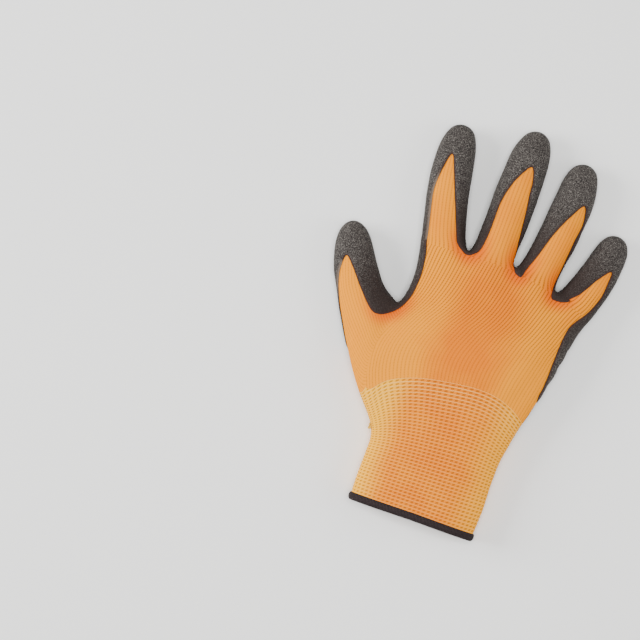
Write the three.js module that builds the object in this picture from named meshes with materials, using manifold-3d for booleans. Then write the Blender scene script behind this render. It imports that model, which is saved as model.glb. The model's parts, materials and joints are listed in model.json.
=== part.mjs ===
// Latex coated grip glove, right hand, lying palm down.
// X runs across the hand with the thumb at -X, Y from the hem to the fingertips, Z up from the floor.
// Sizes are in millimetres and belong to the knitted liner; the latex coat is added around it.
import * as THREE from 'three';
import { mergeVertices } from 'three/addons/utils/BufferGeometryUtils.js';
import Module from 'manifold-3d';

// Walls and clearances
const knitWall = 1.1;
const coatWall = 1.0;
const layerGap = 0.3;
const seamGap = 0.3;

// Cuff
const cuffLength = 76;
const cuffWidth = 81;
const cuffDepth = 23;

// Hem
const hemHeight = 5;
const hemWall = 1.0;
const hemRound = 0.8;

// Palm
const palmLength = 96;
const palmWidth = 118;
const palmDepth = 28;

// Fingers: length from the web line to the tip, width, depth, and the lean at the root and at the tip
const fingers = {
  index: { length: 77.5, width: 25.6, depth: 18.6, leanRoot: -18, leanTip: 0, taper: 0.86 },
  middle: { length: 86.7, width: 26.2, depth: 19.0, leanRoot: 2.5, leanTip: 2, taper: 0.97 },
  ring: { length: 80.0, width: 23.4, depth: 18.2, leanRoot: 13, leanTip: -2, taper: 1.0 },
  little: { length: 53.0, width: 22.0, depth: 16.4, leanRoot: 25, leanTip: 4, taper: 0.92 },
};

// Thumb, measured along its own arc from a root inside the palm
const thumb = { length: 74, width: 24, depth: 20, leanRoot: -43, leanTip: -15, taper: 1 };

// The cuff covers the palm side of the wrist and the coat reaches this far down on the palm side
const coatReach = 26;

const coatStep = layerGap + coatWall;
const rawEdge = hemWall + layerGap;
const columnsOnBack = 9;
const sideColumn = 0.3;
const fitRounds = 6;
const pointsPerSpan = 4;
const mergeWithin = 1e-4;
const sidePower = 2.3;
const solePower = 3.4;
const crownPower = 3;
const shoulderPower = 4;
const palmCrown = 0.1;
const sideRise = 0.46;
// What lies on the floor is pressed flat by this much
const soleFlat = 1.2;

const lerp = THREE.MathUtils.lerp;
const rad = THREE.MathUtils.degToRad;

const at = (across, along) => ({ across, along });

// Rows of the cuff, the thumb side on the left: across is a share of cuffWidth, along a share of the way
// from the raw edge to the wrist, crown a share of cuffLength and rise a share of cuffDepth
const cuffRows = [
  { left: at(-0.509, 0), right: at(0.481, 0), crown: 0, rise: 1.0 },
  { left: at(-0.513, 0.32), right: at(0.494, 0.32), crown: 0, rise: 1.0 },
  { left: at(-0.514, 0.62), right: at(0.503, 0.69), crown: 0.07, rise: 1.06 },
];

// Rows of the hand from the wrist up: across is a share of palmWidth, along a share of palmLength from the
// wrist, crown a share of palmLength and rise a share of palmDepth.
// Shoulder lifts the thumb side of a row where the thumb grows out of it.
const handRows = [
  { left: at(-0.484, -0.055), right: at(0.389, 0.05), crown: 0.185, rise: 0.95, shoulder: 0.02 },
  { left: at(-0.5, 0.25), right: at(0.451, 0.31), crown: 0.105, rise: 1.03, shoulder: 0.11 },
  { left: at(-0.418, 0.55), right: at(0.492, 0.555), crown: 0.045, rise: 0.98, shoulder: 0 },
  { left: at(-0.382, 0.77), right: at(0.527, 0.715), crown: 0.035, rise: 0.87, shoulder: 0 },
];

// The web line: both sides of the hand and the three webs between the fingers
const webs = [at(-0.409, 0.985), at(-0.161, 1.0), at(0.106, 0.995), at(0.352, 0.925), at(0.564, 0.835)];
const webRise = 0.78;
const webValley = 0.15;
const webSlope = 0.1;

// Degrees from the far side of a finger or the thumb, over its back, to the first point of its rings
const fingerStart = 135;
const thumbStart = 180;

// Rings of a finger: along is a share of its length, width and depth of its own, lift of its depth
const fingerRings = [
  { along: 0.11, width: 1.0, depth: 1.0, lift: 0.13, turn: 0 },
  { along: 0.38, width: 0.99, depth: 0.99, lift: 0.13, turn: 0 },
  { along: 0.66, width: 0.965, depth: 0.95, lift: 0.0, turn: 0 },
  { along: 0.86, width: 0.82, depth: 0.8, lift: -0.02, turn: 0 },
  { along: 0.96, width: 0.5, depth: 0.5, lift: 0.12, turn: 0 },
];
const tipLift = 0.4;

// Rings of the thumb: turn is the skew of a ring in degrees, from the broad root to a square tip
const thumbRings = [
  { along: 0.12, width: 1.68, depth: 1.22, lift: -0.03, turn: 27 },
  { along: 0.34, width: 1.2, depth: 1.08, lift: -0.02, turn: 16 },
  { along: 0.6, width: 1.01, depth: 1.01, lift: -0.02, turn: 9 },
  { along: 0.81, width: 0.87, depth: 0.88, lift: -0.01, turn: 0 },
  { along: 0.94, width: 0.55, depth: 0.55, lift: 0.12, turn: 0 },
];
const thumbRoot = at(-0.487, 0.302);

// Shallow dents and folds of the skin: ends across and along as for the hand rows,
// depth and width are shares of palmDepth, and side tells the back from the palm
const folds = [
  { from: at(-0.27, 0.62), to: at(-0.44, 0.4), depth: 0.05, width: 0.4, side: 1 },
  { from: at(0.3, 0.1), to: at(0.44, 0.5), depth: 0.035, width: 0.35, side: 1 },
  { from: at(0.53, 0.62), to: at(0.36, 0.56), depth: 0.05, width: 0.3, side: -1 },
];

const flat = (x, y) => new THREE.Vector2(x, y);
const handPoint = ({ across, along }) => flat(palmWidth * across, cuffLength + palmLength * along);
const cuffPoint = ({ across, along }) => flat(cuffWidth * across, lerp(rawEdge, cuffLength, along));
const fingerRoot = (index) => handPoint(webs[index]).add(handPoint(webs[index + 1])).multiplyScalar(0.5);

// Height of a closed oval section at a share of its breadth, from 0 at the sides to 1 in the middle
const ovalHeight = (share, power) => (1 - Math.abs(2 * share - 1) ** power) ** (1 / power);

// Shares across the back of the nine columns, even on the cuff and gathered to the webs at the knuckles
function columnShares(fan) {
  const span = webs.at(-1).across - webs[0].across;
  const web = webs.map(({ across }) => (across - webs[0].across) / span);
  const atKnuckles = [];
  for (let finger = 0; finger + 1 < web.length; finger += 1) {
    atKnuckles.push(web[finger], (web[finger] + web[finger + 1]) / 2);
  }
  atKnuckles[0] = sideColumn * atKnuckles[1];
  atKnuckles.push(1 - sideColumn * (1 - atKnuckles.at(-1)));
  return atKnuckles.map((share, column) => {
    const even = 0.5 - 0.5 * Math.cos((Math.PI * (column + 1)) / (columnsOnBack + 1));
    return lerp(even, share, fan);
  });
}

// Twenty points round the cuff or the hand: thumb side, nine over the back, far side, nine under the palm
function sectionRing({ left, right, crown, depth, shoulder, fan }) {
  const shares = columnShares(fan);
  const middle = coatStep + depth * sideRise;
  const place = (share, power, reach, arch) => {
    const lifted = share + shoulder * (1 - share) ** shoulderPower;
    const bend = 1 - Math.abs(2 * share - 1) ** crownPower;
    return new THREE.Vector3(
      lerp(left.x, right.x, share),
      lerp(left.y, right.y, share) + arch * bend,
      middle + reach * ovalHeight(lifted, power),
    );
  };
  const back = shares.map((share) => place(share, sidePower, depth * (1 - sideRise), crown));
  const sole = -depth * sideRise - soleFlat;
  const palm = shares.map((share) => place(share, solePower, sole, crown * palmCrown)).reverse();
  return [
    new THREE.Vector3(left.x, left.y, middle),
    ...back,
    new THREE.Vector3(right.x, right.y, middle),
    ...palm,
  ];
}

// A point on the arc of a finger or the thumb, with the direction across it, at a share of its length
function arcPoint(root, { length, leanRoot, leanTip }, share) {
  const mean = rad(lerp(leanRoot, leanTip, share / 2));
  const here = rad(lerp(leanRoot, leanTip, share));
  return {
    centre: flat(Math.sin(mean), Math.cos(mean)).multiplyScalar(length * share).add(root),
    across: flat(Math.cos(here), -Math.sin(here)),
  };
}

// An oval ring of points, standing on the arc, from its thumb side over the top to its far side and back
function ovalRing({ centre, across }, count, start, halfWidth, halfDepth, height) {
  const ring = [];
  for (let step = 0; step < count; step += 1) {
    const angle = start - (2 * Math.PI * step) / count;
    const reach = halfWidth * Math.cos(angle);
    ring.push(new THREE.Vector3(
      centre.x + across.x * reach,
      centre.y + across.y * reach,
      height + halfDepth * Math.sin(angle),
    ));
  }
  return ring;
}

// The control mesh of the whole liner surface: quads, each marked as cuff or hand
class Cage {
  constructor() {
    this.points = [];
    this.quads = [];
    this.zones = [];
  }

  addRing(ring) {
    return ring.map((point) => this.points.push(point) - 1);
  }

  addBand(lower, upper, zone, skip = () => false) {
    for (let column = 0; column < lower.length; column += 1) {
      const next = (column + 1) % lower.length;
      if (skip(column)) continue;
      this.quads.push([lower[column], lower[next], upper[next], upper[column]]);
      this.zones.push(zone);
    }
  }

  addCap(ring, tip, zone) {
    const [pole] = this.addRing([tip]);
    for (let column = 0; column < ring.length; column += 2) {
      this.quads.push([ring[column], ring[column + 1], ring[(column + 2) % ring.length], pole]);
      this.zones.push(zone);
    }
  }
}

// Grows a finger or the thumb from a base ring of the cage to its tip
function digitSurface(cage, base, root, digit, rings, start) {
  let last = base;
  for (const ring of rings) {
    const station = arcPoint(root, digit, ring.along);
    station.across.rotateAround(flat(0, 0), rad(ring.turn));
    const halfWidth = (digit.width * ring.width * lerp(1, digit.taper, ring.along)) / 2;
    const halfDepth = (digit.depth * ring.depth) / 2;
    const height = coatStep + digit.depth * ring.lift + halfDepth;
    const next = cage.addRing(ovalRing(station, base.length, start, halfWidth, halfDepth, height));
    cage.addBand(last, next, 'hand');
    last = next;
  }
  const end = arcPoint(root, digit, 1).centre;
  cage.addCap(last, new THREE.Vector3(end.x, end.y, coatStep + digit.depth * tipLift), 'hand');
}

// The row of the web line: knuckles bulge and the webs between them lie lower
function webRing() {
  const side = webs.map(handPoint);
  const depth = palmDepth * webRise;
  const lift = fingers.index.depth * fingerRings[0].lift;
  const middle = coatStep + lift + (depth - lift) / 2;
  const spotAt = (share) => {
    const x = lerp(side[0].x, side[4].x, share);
    const finger = side.findIndex((web) => x < web.x) - 1;
    const local = (x - side[finger].x) / (side[finger + 1].x - side[finger].x);
    return new THREE.Vector3(x, lerp(side[finger].y, side[finger + 1].y, local), middle);
  };
  const row = (power, reach, slope) => columnShares(1).map((share, column) => {
    const overWeb = column % 2 === 0 && column > 0 && column < columnsOnBack - 1;
    const height = reach * (1 - slope * share) * ovalHeight(share, power);
    return spotAt(share).setZ(middle + height - (overWeb ? webValley * depth * Math.sign(reach) : 0));
  });
  const back = row(sidePower, depth / 2, webSlope);
  const palm = row(solePower, coatStep + lift - middle, 0).reverse();
  const webPoints = side.map((web) => new THREE.Vector3(web.x, web.y, middle));
  return {
    ring: [webPoints[0], ...back, webPoints[4], ...palm],
    webPoints: webPoints.slice(1, 4),
  };
}

function linerCage() {
  const cage = new Cage();
  const rings = cuffRows.map((row) => cage.addRing(sectionRing({
    left: cuffPoint(row.left),
    right: cuffPoint(row.right),
    crown: cuffLength * row.crown,
    depth: cuffDepth * row.rise,
    shoulder: 0,
    fan: 0,
  })));
  handRows.forEach((row, index) => {
    rings.push(cage.addRing(sectionRing({
      left: handPoint(row.left),
      right: handPoint(row.right),
      crown: palmLength * row.crown,
      depth: palmDepth * row.rise,
      shoulder: row.shoulder,
      fan: (index + 1) / (handRows.length + 1),
    })));
  });
  const { ring, webPoints } = webRing();
  const webRow = cage.addRing(ring);
  rings.push(webRow);
  const wrist = cuffRows.length;
  const thumbRows = 2;
  for (let row = 0; row + 1 < rings.length; row += 1) {
    const inThumb = row >= wrist && row < wrist + thumbRows;
    const zone = row < wrist ? 'cuff' : 'hand';
    cage.addBand(rings[row], rings[row + 1], zone, (column) => inThumb && (column === 0 || column === 19));
  }

  const web = [webRow[0], ...cage.addRing(webPoints), webRow[10]];
  const back = webRow.slice(1, 10);
  const palm = webRow.slice(11).reverse();
  Object.values(fingers).forEach((finger, index) => {
    const first = 2 * index;
    const base = [
      back[first], back[first + 1], back[first + 2], web[index + 1],
      palm[first + 2], palm[first + 1], palm[first], web[index],
    ];
    digitSurface(cage, base, fingerRoot(index), finger, fingerRings, rad(fingerStart));
  });

  const thumbRing = [rings[wrist][0]];
  for (let row = 0; row <= thumbRows; row += 1) thumbRing.push(rings[wrist + row][1]);
  thumbRing.push(rings[wrist + thumbRows][0]);
  for (let row = thumbRows; row >= 0; row -= 1) thumbRing.push(rings[wrist + row][19]);
  digitSurface(cage, thumbRing, handPoint(thumbRoot), thumb, thumbRings, rad(thumbStart));
  return dropLoosePoints({ ...cage, rim: rings[0], seam: rings[wrist] });
}

// Points inside the thumb's root belong to no quad, so they are dropped
function dropLoosePoints({ points, quads, zones, rim, seam }) {
  const used = [...new Set(quads.flat())].sort((a, b) => a - b);
  const place = new Map(used.map((old, index) => [old, index]));
  const renumber = (corners) => corners.map((corner) => place.get(corner));
  return {
    points: used.map((old) => points[old]),
    quads: quads.map(renumber),
    zones,
    rim: renumber(rim),
    seam: renumber(seam),
  };
}

const edgeKey = (a, b) => (a < b ? `${a},${b}` : `${b},${a}`);

// Neighbours of every point: along its edges, across its quads, and along an open edge
function neighbours(points, quads) {
  const edges = new Map();
  const around = points.map(() => ({ near: new Set(), far: [], edge: new Set() }));
  for (const quad of quads) {
    quad.forEach((corner, index) => {
      const next = quad[(index + 1) % 4];
      around[corner].near.add(next);
      around[next].near.add(corner);
      around[corner].far.push(quad[(index + 2) % 4]);
      const key = edgeKey(corner, next);
      edges.set(key, (edges.get(key) ?? 0) + 1);
    });
  }
  for (const [key, count] of edges) {
    if (count === 1) {
      const [a, b] = key.split(',').map(Number);
      around[a].edge.add(b);
      around[b].edge.add(a);
    }
  }
  return around;
}

function sumOf(points, indices) {
  const sum = new THREE.Vector3();
  for (const index of indices) sum.add(points[index]);
  return sum;
}

// Where the smooth subdivision surface of a mesh passes each of its points
function smoothPoints(points, quads) {
  const around = neighbours(points, quads);
  return points.map((point, index) => {
    const { near, far, edge } = around[index];
    if (edge.size) return sumOf(points, edge).addScaledVector(point, 4).divideScalar(6);
    const valence = near.size;
    return sumOf(points, near).multiplyScalar(4).add(sumOf(points, far))
      .addScaledVector(point, valence ** 2).divideScalar(valence * (valence + 5));
  });
}

// Moves the control points until the smooth surface passes through the given ones
function fitCage(target, quads) {
  let points = target.map((point) => point.clone());
  for (let round = 0; round < fitRounds; round += 1) {
    const smooth = smoothPoints(points, quads);
    points = points.map((point, index) => point.clone().add(target[index]).sub(smooth[index]));
  }
  return points;
}

// One step of subdivision: each quad becomes four
function subdivide({ points, quads, zones, rim, seam }) {
  const around = neighbours(points, quads);
  const facePoints = quads.map((quad) => sumOf(points, quad).divideScalar(4));
  const edgePoints = [];
  const edgeIndex = new Map();
  const facesOfEdge = new Map();
  quads.forEach((quad, face) => quad.forEach((corner, index) => {
    const key = edgeKey(corner, quad[(index + 1) % 4]);
    facesOfEdge.set(key, [...(facesOfEdge.get(key) ?? []), face]);
  }));
  for (const [key, faces] of facesOfEdge) {
    const ends = key.split(',').map(Number);
    const sum = sumOf(points, ends);
    edgeIndex.set(key, edgePoints.length);
    const inner = faces.length === 2;
    edgePoints.push(inner ? sum.add(sumOf(facePoints, faces)).divideScalar(4) : sum.divideScalar(2));
  }
  const moved = points.map((point, index) => {
    const { near, far, edge } = around[index];
    if (edge.size) return sumOf(points, edge).addScaledVector(point, 6).divideScalar(8);
    const valence = near.size;
    const nearMean = sumOf(points, near).multiplyScalar(1.5 / valence ** 2);
    const farMean = sumOf(points, far).multiplyScalar(0.25 / valence ** 2);
    return nearMean.add(farMean).addScaledVector(point, 1 - 1.75 / valence);
  });
  const faceStart = points.length;
  const edgeStart = faceStart + facePoints.length;
  const edgeAt = (a, b) => edgeStart + edgeIndex.get(edgeKey(a, b));
  const finer = [];
  quads.forEach((quad, face) => quad.forEach((corner, index) => {
    const next = quad[(index + 1) % 4];
    const last = quad[(index + 3) % 4];
    finer.push([corner, edgeAt(corner, next), faceStart + face, edgeAt(last, corner)]);
  }));
  const finerLoop = (loop) => loop.flatMap((corner, index) => {
    const next = loop[(index + 1) % loop.length];
    return [corner, edgeAt(corner, next)];
  });
  return {
    points: [...moved, ...facePoints, ...edgePoints],
    quads: finer,
    zones: zones.flatMap((zone) => [zone, zone, zone, zone]),
    rim: finerLoop(rim),
    seam: finerLoop(seam),
  };
}

function pointNormals(points, quads) {
  const normals = points.map(() => new THREE.Vector3());
  for (const [a, b, c, d] of quads) {
    const face = points[c].clone().sub(points[a]).cross(points[d].clone().sub(points[b]));
    for (const corner of [a, b, c, d]) normals[corner].add(face);
  }
  return normals.map((normal) => normal.normalize());
}

// Presses the folds into the surface
function pressFolds(points, normals) {
  return points.map((point, index) => {
    const spot = new THREE.Vector3(point.x, point.y, 0);
    let push = 0;
    for (const fold of folds) {
      if (Math.sign(normals[index].z) !== fold.side) continue;
      const from = handPoint(fold.from);
      const to = handPoint(fold.to);
      const line = new THREE.Line3(new THREE.Vector3(from.x, from.y, 0), new THREE.Vector3(to.x, to.y, 0));
      const distance = line.closestPointToPoint(spot, true, new THREE.Vector3()).distanceTo(spot);
      const reach = distance / (palmDepth * fold.width);
      push += palmDepth * fold.depth * Math.exp(-2 * reach ** 2) * Math.abs(normals[index].z);
    }
    return point.clone().addScaledVector(normals[index], -push);
  });
}

// A layer of the glove at a distance from the knit surface, flat where it lies on the floor
function layer(surface, distance) {
  const floor = coatStep - distance;
  return surface.points.map((point, index) => {
    const moved = point.clone().addScaledVector(surface.normals[index], distance);
    moved.z = Math.max(moved.z, floor);
    return moved;
  });
}

// The closed solid between an outer and an inner layer over some quads
function shellGeometry(outer, inner, quads) {
  const offset = outer.length;
  const indices = [];
  const addQuad = (a, b, c, d) => indices.push(a, b, c, a, c, d);
  const open = new Map();
  for (const [a, b, c, d] of quads) {
    addQuad(a, b, c, d);
    indices.push(a + offset, c + offset, b + offset, a + offset, d + offset, c + offset);
    for (const [from, to] of [[a, b], [b, c], [c, d], [d, a]]) {
      if (!open.delete(`${to},${from}`)) open.set(`${from},${to}`, [from, to]);
    }
  }
  for (const [from, to] of open.values()) addQuad(to, from, from + offset, to + offset);
  const geometry = new THREE.BufferGeometry();
  geometry.setFromPoints([...outer, ...inner]);
  geometry.setIndex(indices);
  return compact(geometry);
}

// Keeps only the vertices that faces use, once each
function compact(geometry) {
  const loose = geometry.toNonIndexed();
  for (const name of Object.keys(loose.attributes)) {
    if (name !== 'position') loose.deleteAttribute(name);
  }
  return mergeVertices(loose, mergeWithin);
}

const manifoldTool = await Module();
manifoldTool.setup();

function toSolid(geometry) {
  const merged = compact(geometry.index ? geometry : mergeVertices(geometry));
  return new manifoldTool.Manifold(new manifoldTool.Mesh({
    numProp: 3,
    vertProperties: Float32Array.from(merged.attributes.position.array),
    triVerts: Uint32Array.from(merged.index.array),
  }));
}

function fromSolid(solid) {
  const mesh = solid.getMesh();
  const geometry = new THREE.BufferGeometry();
  geometry.setAttribute('position', new THREE.BufferAttribute(mesh.vertProperties, 3));
  geometry.setIndex(new THREE.BufferAttribute(mesh.triVerts, 1));
  return geometry;
}

// The knit surface: fitted, subdivided once and pressed in at the folds
function knitSurface() {
  const cage = linerCage();
  const fitted = { ...cage, points: fitCage(cage.points, cage.quads) };
  const fine = subdivide(fitted);
  const smooth = smoothPoints(fine.points, fine.quads);
  const folded = pressFolds(smooth, pointNormals(smooth, fine.quads));
  for (const point of folded) point.z = Math.max(point.z, coatStep);
  return { ...fine, points: folded, normals: pointNormals(folded, fine.quads) };
}

function handGeometry(surface) {
  const quads = surface.quads.filter((quad, index) => surface.zones[index] === 'hand');
  return shellGeometry(layer(surface, 0), layer(surface, -knitWall), quads);
}

// The cuff ends a seam's width short of the hand
function cuffGeometry(surface) {
  const quads = surface.quads.filter((quad, index) => surface.zones[index] === 'cuff');
  const seam = new Set(surface.seam);
  const shortened = surface.points.map((point) => point.clone());
  for (const quad of quads) {
    quad.forEach((corner, index) => {
      for (const beside of [quad[(index + 1) % 4], quad[(index + 3) % 4]]) {
        if (seam.has(corner) && !seam.has(beside)) {
          const away = surface.points[beside].clone().sub(surface.points[corner]).setLength(seamGap);
          shortened[corner] = surface.points[corner].clone().add(away);
        }
      }
    });
  }
  const short = { ...surface, points: shortened };
  return shellGeometry(layer(short, 0), layer(short, -knitWall), quads);
}

// Edge of the bare back on each finger: along is a share of its length,
// left and right are shares of its width from the arc of the finger
const bareTongues = {
  index: [
    { along: 0.02, left: -0.42, right: 0.3 },
    { along: 0.24, left: -0.38, right: 0.3 },
    { along: 0.5, left: -0.3, right: 0.16 },
    { along: 0.74, left: -0.08, right: -0.08 },
  ],
  middle: [
    { along: 0.08, left: -0.36, right: 0.5 },
    { along: 0.24, left: -0.33, right: 0.46 },
    { along: 0.5, left: -0.24, right: 0.34 },
    { along: 0.73, left: 0.12, right: 0.12 },
  ],
  ring: [
    { along: 0.06, left: -0.36, right: 0.5 },
    { along: 0.26, left: -0.3, right: 0.48 },
    { along: 0.5, left: -0.02, right: 0.46 },
    { along: 0.68, left: 0.3, right: 0.3 },
  ],
  little: [
    { along: 0.12, left: -0.22, right: 0.42 },
    { along: 0.3, left: 0.0, right: 0.42 },
    { along: 0.52, left: 0.28, right: 0.28 },
  ],
};
const webDip = 0.02;
const thumbTongue = [
  { along: 0.16, left: -0.62, right: 0.3 },
  { along: 0.42, left: -0.4, right: 0.26 },
  { along: 0.7, left: -0.2, right: -0.2 },
];
const bareSides = [at(0.487, 0.77), at(0.459, 0.6), at(0.449, 0.4), at(0.436, 0.25)];
const bareMeetsThumbSide = at(-0.64, 0.22);
const bareMeetsFarSide = at(0.45, 0.16);
const thumbWeb = [at(-0.42, 0.5), at(-0.365, 0.66)];

// Up one edge of a bare tongue, over its tip and down the other edge
function tonguePoints(rows, root, digit) {
  const edgePoint = (row, side) => {
    const { centre, across } = arcPoint(root, digit, row.along);
    return centre.addScaledVector(across, digit.width * row[side]);
  };
  const up = rows.map((row) => edgePoint(row, 'left'));
  const down = rows.slice(0, -1).reverse().map((row) => edgePoint(row, 'right'));
  return [...up, ...down];
}

// Plan outline of the bare back of the hand, open below the wrist
function bareOutline() {
  const points = [handPoint(bareMeetsThumbSide)];
  points.push(...tonguePoints(thumbTongue, handPoint(thumbRoot), thumb));
  points.push(...thumbWeb.map(handPoint));
  Object.entries(fingers).forEach(([name, finger], index) => {
    const web = webs[index + 1];
    points.push(...tonguePoints(bareTongues[name], fingerRoot(index), finger));
    if (web !== webs.at(-1)) points.push(handPoint(at(web.across, web.along - webDip)));
  });
  points.push(...bareSides.map(handPoint), handPoint(bareMeetsFarSide));
  return closeBelow(new THREE.SplineCurve(points).getPoints(pointsPerSpan * points.length));
}

// Plan outline below the lower edge of the coat on the palm side
const coatEdge = [
  { across: -0.49, drop: -0.2 },
  { across: -0.34, drop: 0.24 },
  { across: -0.17, drop: 0.7 },
  { across: 0.0, drop: 0.97 },
  { across: 0.17, drop: 0.92 },
  { across: 0.36, drop: 0.67 },
];

function coatEdgeOutline() {
  const points = coatEdge.map(({ across, drop }) => flat(palmWidth * across, cuffLength - coatReach * drop));
  return closeBelow(new THREE.SplineCurve(points).getPoints(pointsPerSpan * points.length));
}

// Closes an outline that crosses the glove from side to side, far below the hem
function closeBelow(outline) {
  const far = palmWidth + cuffWidth;
  const left = outline[0];
  const right = outline.at(-1);
  return [flat(-far, left.y), ...outline, flat(far, right.y), flat(far, -far), flat(-far, -far)];
}

function prism(outline, bottom, height) {
  const shape = new THREE.Shape(outline);
  const geometry = new THREE.ExtrudeGeometry(shape, { depth: height, bevelEnabled: false });
  geometry.translate(0, 0, bottom);
  return toSolid(geometry);
}

function coatGeometry(surface) {
  const skin = shellGeometry(layer(surface, coatStep), layer(surface, layerGap), surface.quads);
  const tall = 2 * palmDepth;
  const middle = coatStep + cuffDepth * sideRise;
  return fromSolid(toSolid(skin)
    .subtract(prism(bareOutline(), middle, tall))
    .subtract(prism(coatEdgeOutline(), -tall, 2 * tall)));
}

// The hem is a ring with a U section that wraps the raw edge of the cuff
function hemGeometry(surface) {
  const outside = coatStep;
  const inside = -knitWall - layerGap - hemWall;
  const section = [
    { out: outside, up: hemHeight },
    { out: outside, up: hemRound },
    { out: outside - hemRound, up: 0 },
    { out: inside + hemRound, up: 0 },
    { out: inside, up: hemRound },
    { out: inside, up: hemHeight },
    { out: -knitWall - layerGap, up: hemHeight },
    { out: -knitWall - layerGap, up: hemWall },
    { out: layerGap, up: hemWall },
    { out: layerGap, up: hemHeight },
  ];
  const points = [];
  const indices = [];
  surface.rim.forEach((corner, step) => {
    const base = surface.points[corner];
    const normal = surface.normals[corner].clone().setY(0).normalize();
    for (const { out, up } of section) {
      points.push(new THREE.Vector3(base.x + normal.x * out, up, Math.max(base.z + normal.z * out, 0)));
    }
    const here = step * section.length;
    const there = ((step + 1) % surface.rim.length) * section.length;
    section.forEach((unused, index) => {
      const next = (index + 1) % section.length;
      indices.push(here + index, here + next, there + next, here + index, there + next, there + index);
    });
  });
  const geometry = new THREE.BufferGeometry();
  geometry.setFromPoints(points);
  geometry.setIndex(indices);
  return geometry;
}

function finish(name, color, roughness) {
  return new THREE.MeshStandardMaterial({ name, color, roughness, metalness: 0 });
}

const materials = {
  knit: finish('orange_polyester_knit', 0xf39a3c, 0.9),
  cuff: finish('orange_elastic_knit', 0xf2a04a, 0.92),
  latex: finish('dark_crinkle_latex', 0x45403e, 0.78),
  hem: finish('dark_overlock_thread', 0x3a2f2d, 0.85),
};

function namedMesh(name, geometry, material) {
  geometry.computeVertexNormals();
  const mesh = new THREE.Mesh(geometry, material);
  mesh.name = name;
  return mesh;
}

const surface = knitSurface();
const glove = new THREE.Group();
glove.add(
  namedMesh('knit_hand', handGeometry(surface), materials.knit),
  namedMesh('knit_cuff', cuffGeometry(surface), materials.cuff),
  namedMesh('latex_coat', coatGeometry(surface), materials.latex),
  namedMesh('hem_overlock', hemGeometry(surface), materials.hem),
);

// The origin is the middle of the glove's footprint, on the floor
const box = new THREE.Box3().setFromObject(glove);
glove.position.set(-(box.min.x + box.max.x) / 2, -(box.min.y + box.max.y) / 2, -box.min.z);

export default glove;
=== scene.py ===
"""Latex coated grip glove for the right hand, lying palm down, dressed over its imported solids.

Lengths are in millimetres in the glove's own frame, with X across the hand and the thumb at -X, Y from
the hem to the fingertips and Z up from the floor. OwnFrame turns them into the row frame's metres.
"""
from __future__ import annotations

import json
import logging
import math
from dataclasses import dataclass, field
from enum import Enum
from typing import ClassVar

import bmesh
import bpy
import numpy as np
from bpy.types import ID, Material, Mesh, Node, NodeSocket, NodeTree, Object
from mathutils import Matrix, Vector, noise

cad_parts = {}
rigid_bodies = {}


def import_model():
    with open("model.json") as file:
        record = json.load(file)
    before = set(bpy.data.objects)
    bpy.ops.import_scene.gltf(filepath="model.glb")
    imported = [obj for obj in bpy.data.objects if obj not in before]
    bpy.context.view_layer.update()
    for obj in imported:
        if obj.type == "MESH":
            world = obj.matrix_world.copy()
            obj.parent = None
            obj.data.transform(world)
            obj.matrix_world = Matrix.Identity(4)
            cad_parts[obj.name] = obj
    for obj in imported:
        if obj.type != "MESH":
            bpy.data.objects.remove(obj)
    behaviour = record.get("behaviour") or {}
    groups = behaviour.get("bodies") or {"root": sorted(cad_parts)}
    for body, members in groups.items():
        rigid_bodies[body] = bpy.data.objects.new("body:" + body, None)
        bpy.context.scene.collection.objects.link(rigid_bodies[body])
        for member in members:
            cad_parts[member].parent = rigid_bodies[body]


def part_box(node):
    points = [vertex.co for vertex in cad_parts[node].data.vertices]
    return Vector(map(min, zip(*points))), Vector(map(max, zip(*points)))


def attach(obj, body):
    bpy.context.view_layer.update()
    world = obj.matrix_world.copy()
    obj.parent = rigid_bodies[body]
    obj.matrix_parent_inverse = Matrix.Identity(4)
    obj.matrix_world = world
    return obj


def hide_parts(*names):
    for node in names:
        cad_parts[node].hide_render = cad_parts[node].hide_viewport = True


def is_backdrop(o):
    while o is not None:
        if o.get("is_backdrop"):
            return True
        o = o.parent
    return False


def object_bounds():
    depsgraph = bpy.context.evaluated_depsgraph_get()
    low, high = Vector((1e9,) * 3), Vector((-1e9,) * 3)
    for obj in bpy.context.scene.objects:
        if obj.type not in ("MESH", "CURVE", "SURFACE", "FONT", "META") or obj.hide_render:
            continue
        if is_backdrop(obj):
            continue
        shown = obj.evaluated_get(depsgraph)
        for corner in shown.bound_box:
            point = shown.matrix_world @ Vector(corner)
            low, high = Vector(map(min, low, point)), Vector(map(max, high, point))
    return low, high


LOG = logging.getLogger("grip_glove")
MM = 0.001
STITCH_MAP = "stitches"
# The output that a node hands on, where it isn't the first one
MAIN_OUTPUTS = {"ShaderNodeAttribute": 2, "ShaderNodeMix": 2}
Share = tuple[float, float]


def lerp(start: float, end: float, share: float) -> float:
    """Returns the value a share of the way from start to end."""
    return start + (end - start) * share


def ease(value: float | np.ndarray, low: float, high: float) -> float | np.ndarray:
    """Returns 0 below low, 1 above high and a smooth step between them."""
    share = np.clip((value - low) / (high - low), 0.0, 1.0)
    return share * share * (3.0 - 2.0 * share)


def select_only(chosen: Object | None) -> None:
    """Selects one object, or none, and deselects every other, the CAD nodes among them."""
    for obj in bpy.context.view_layer.objects:
        obj.select_set(False)
    if chosen:
        bpy.context.view_layer.objects.active = chosen
        chosen.select_set(True)


def add_object(name: str, data: ID) -> Object:
    """Returns a new object of the scene that shows some data."""
    obj = bpy.data.objects.new(name, data)
    bpy.context.scene.collection.objects.link(obj)
    return obj


class Zone(Enum):
    """The two knits of the liner."""

    HAND = 0
    CUFF = 1


class Side(Enum):
    """The side of the hand that a fold lies on."""

    PALM = -1
    BOTH = 0
    BACK = 1


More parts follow.
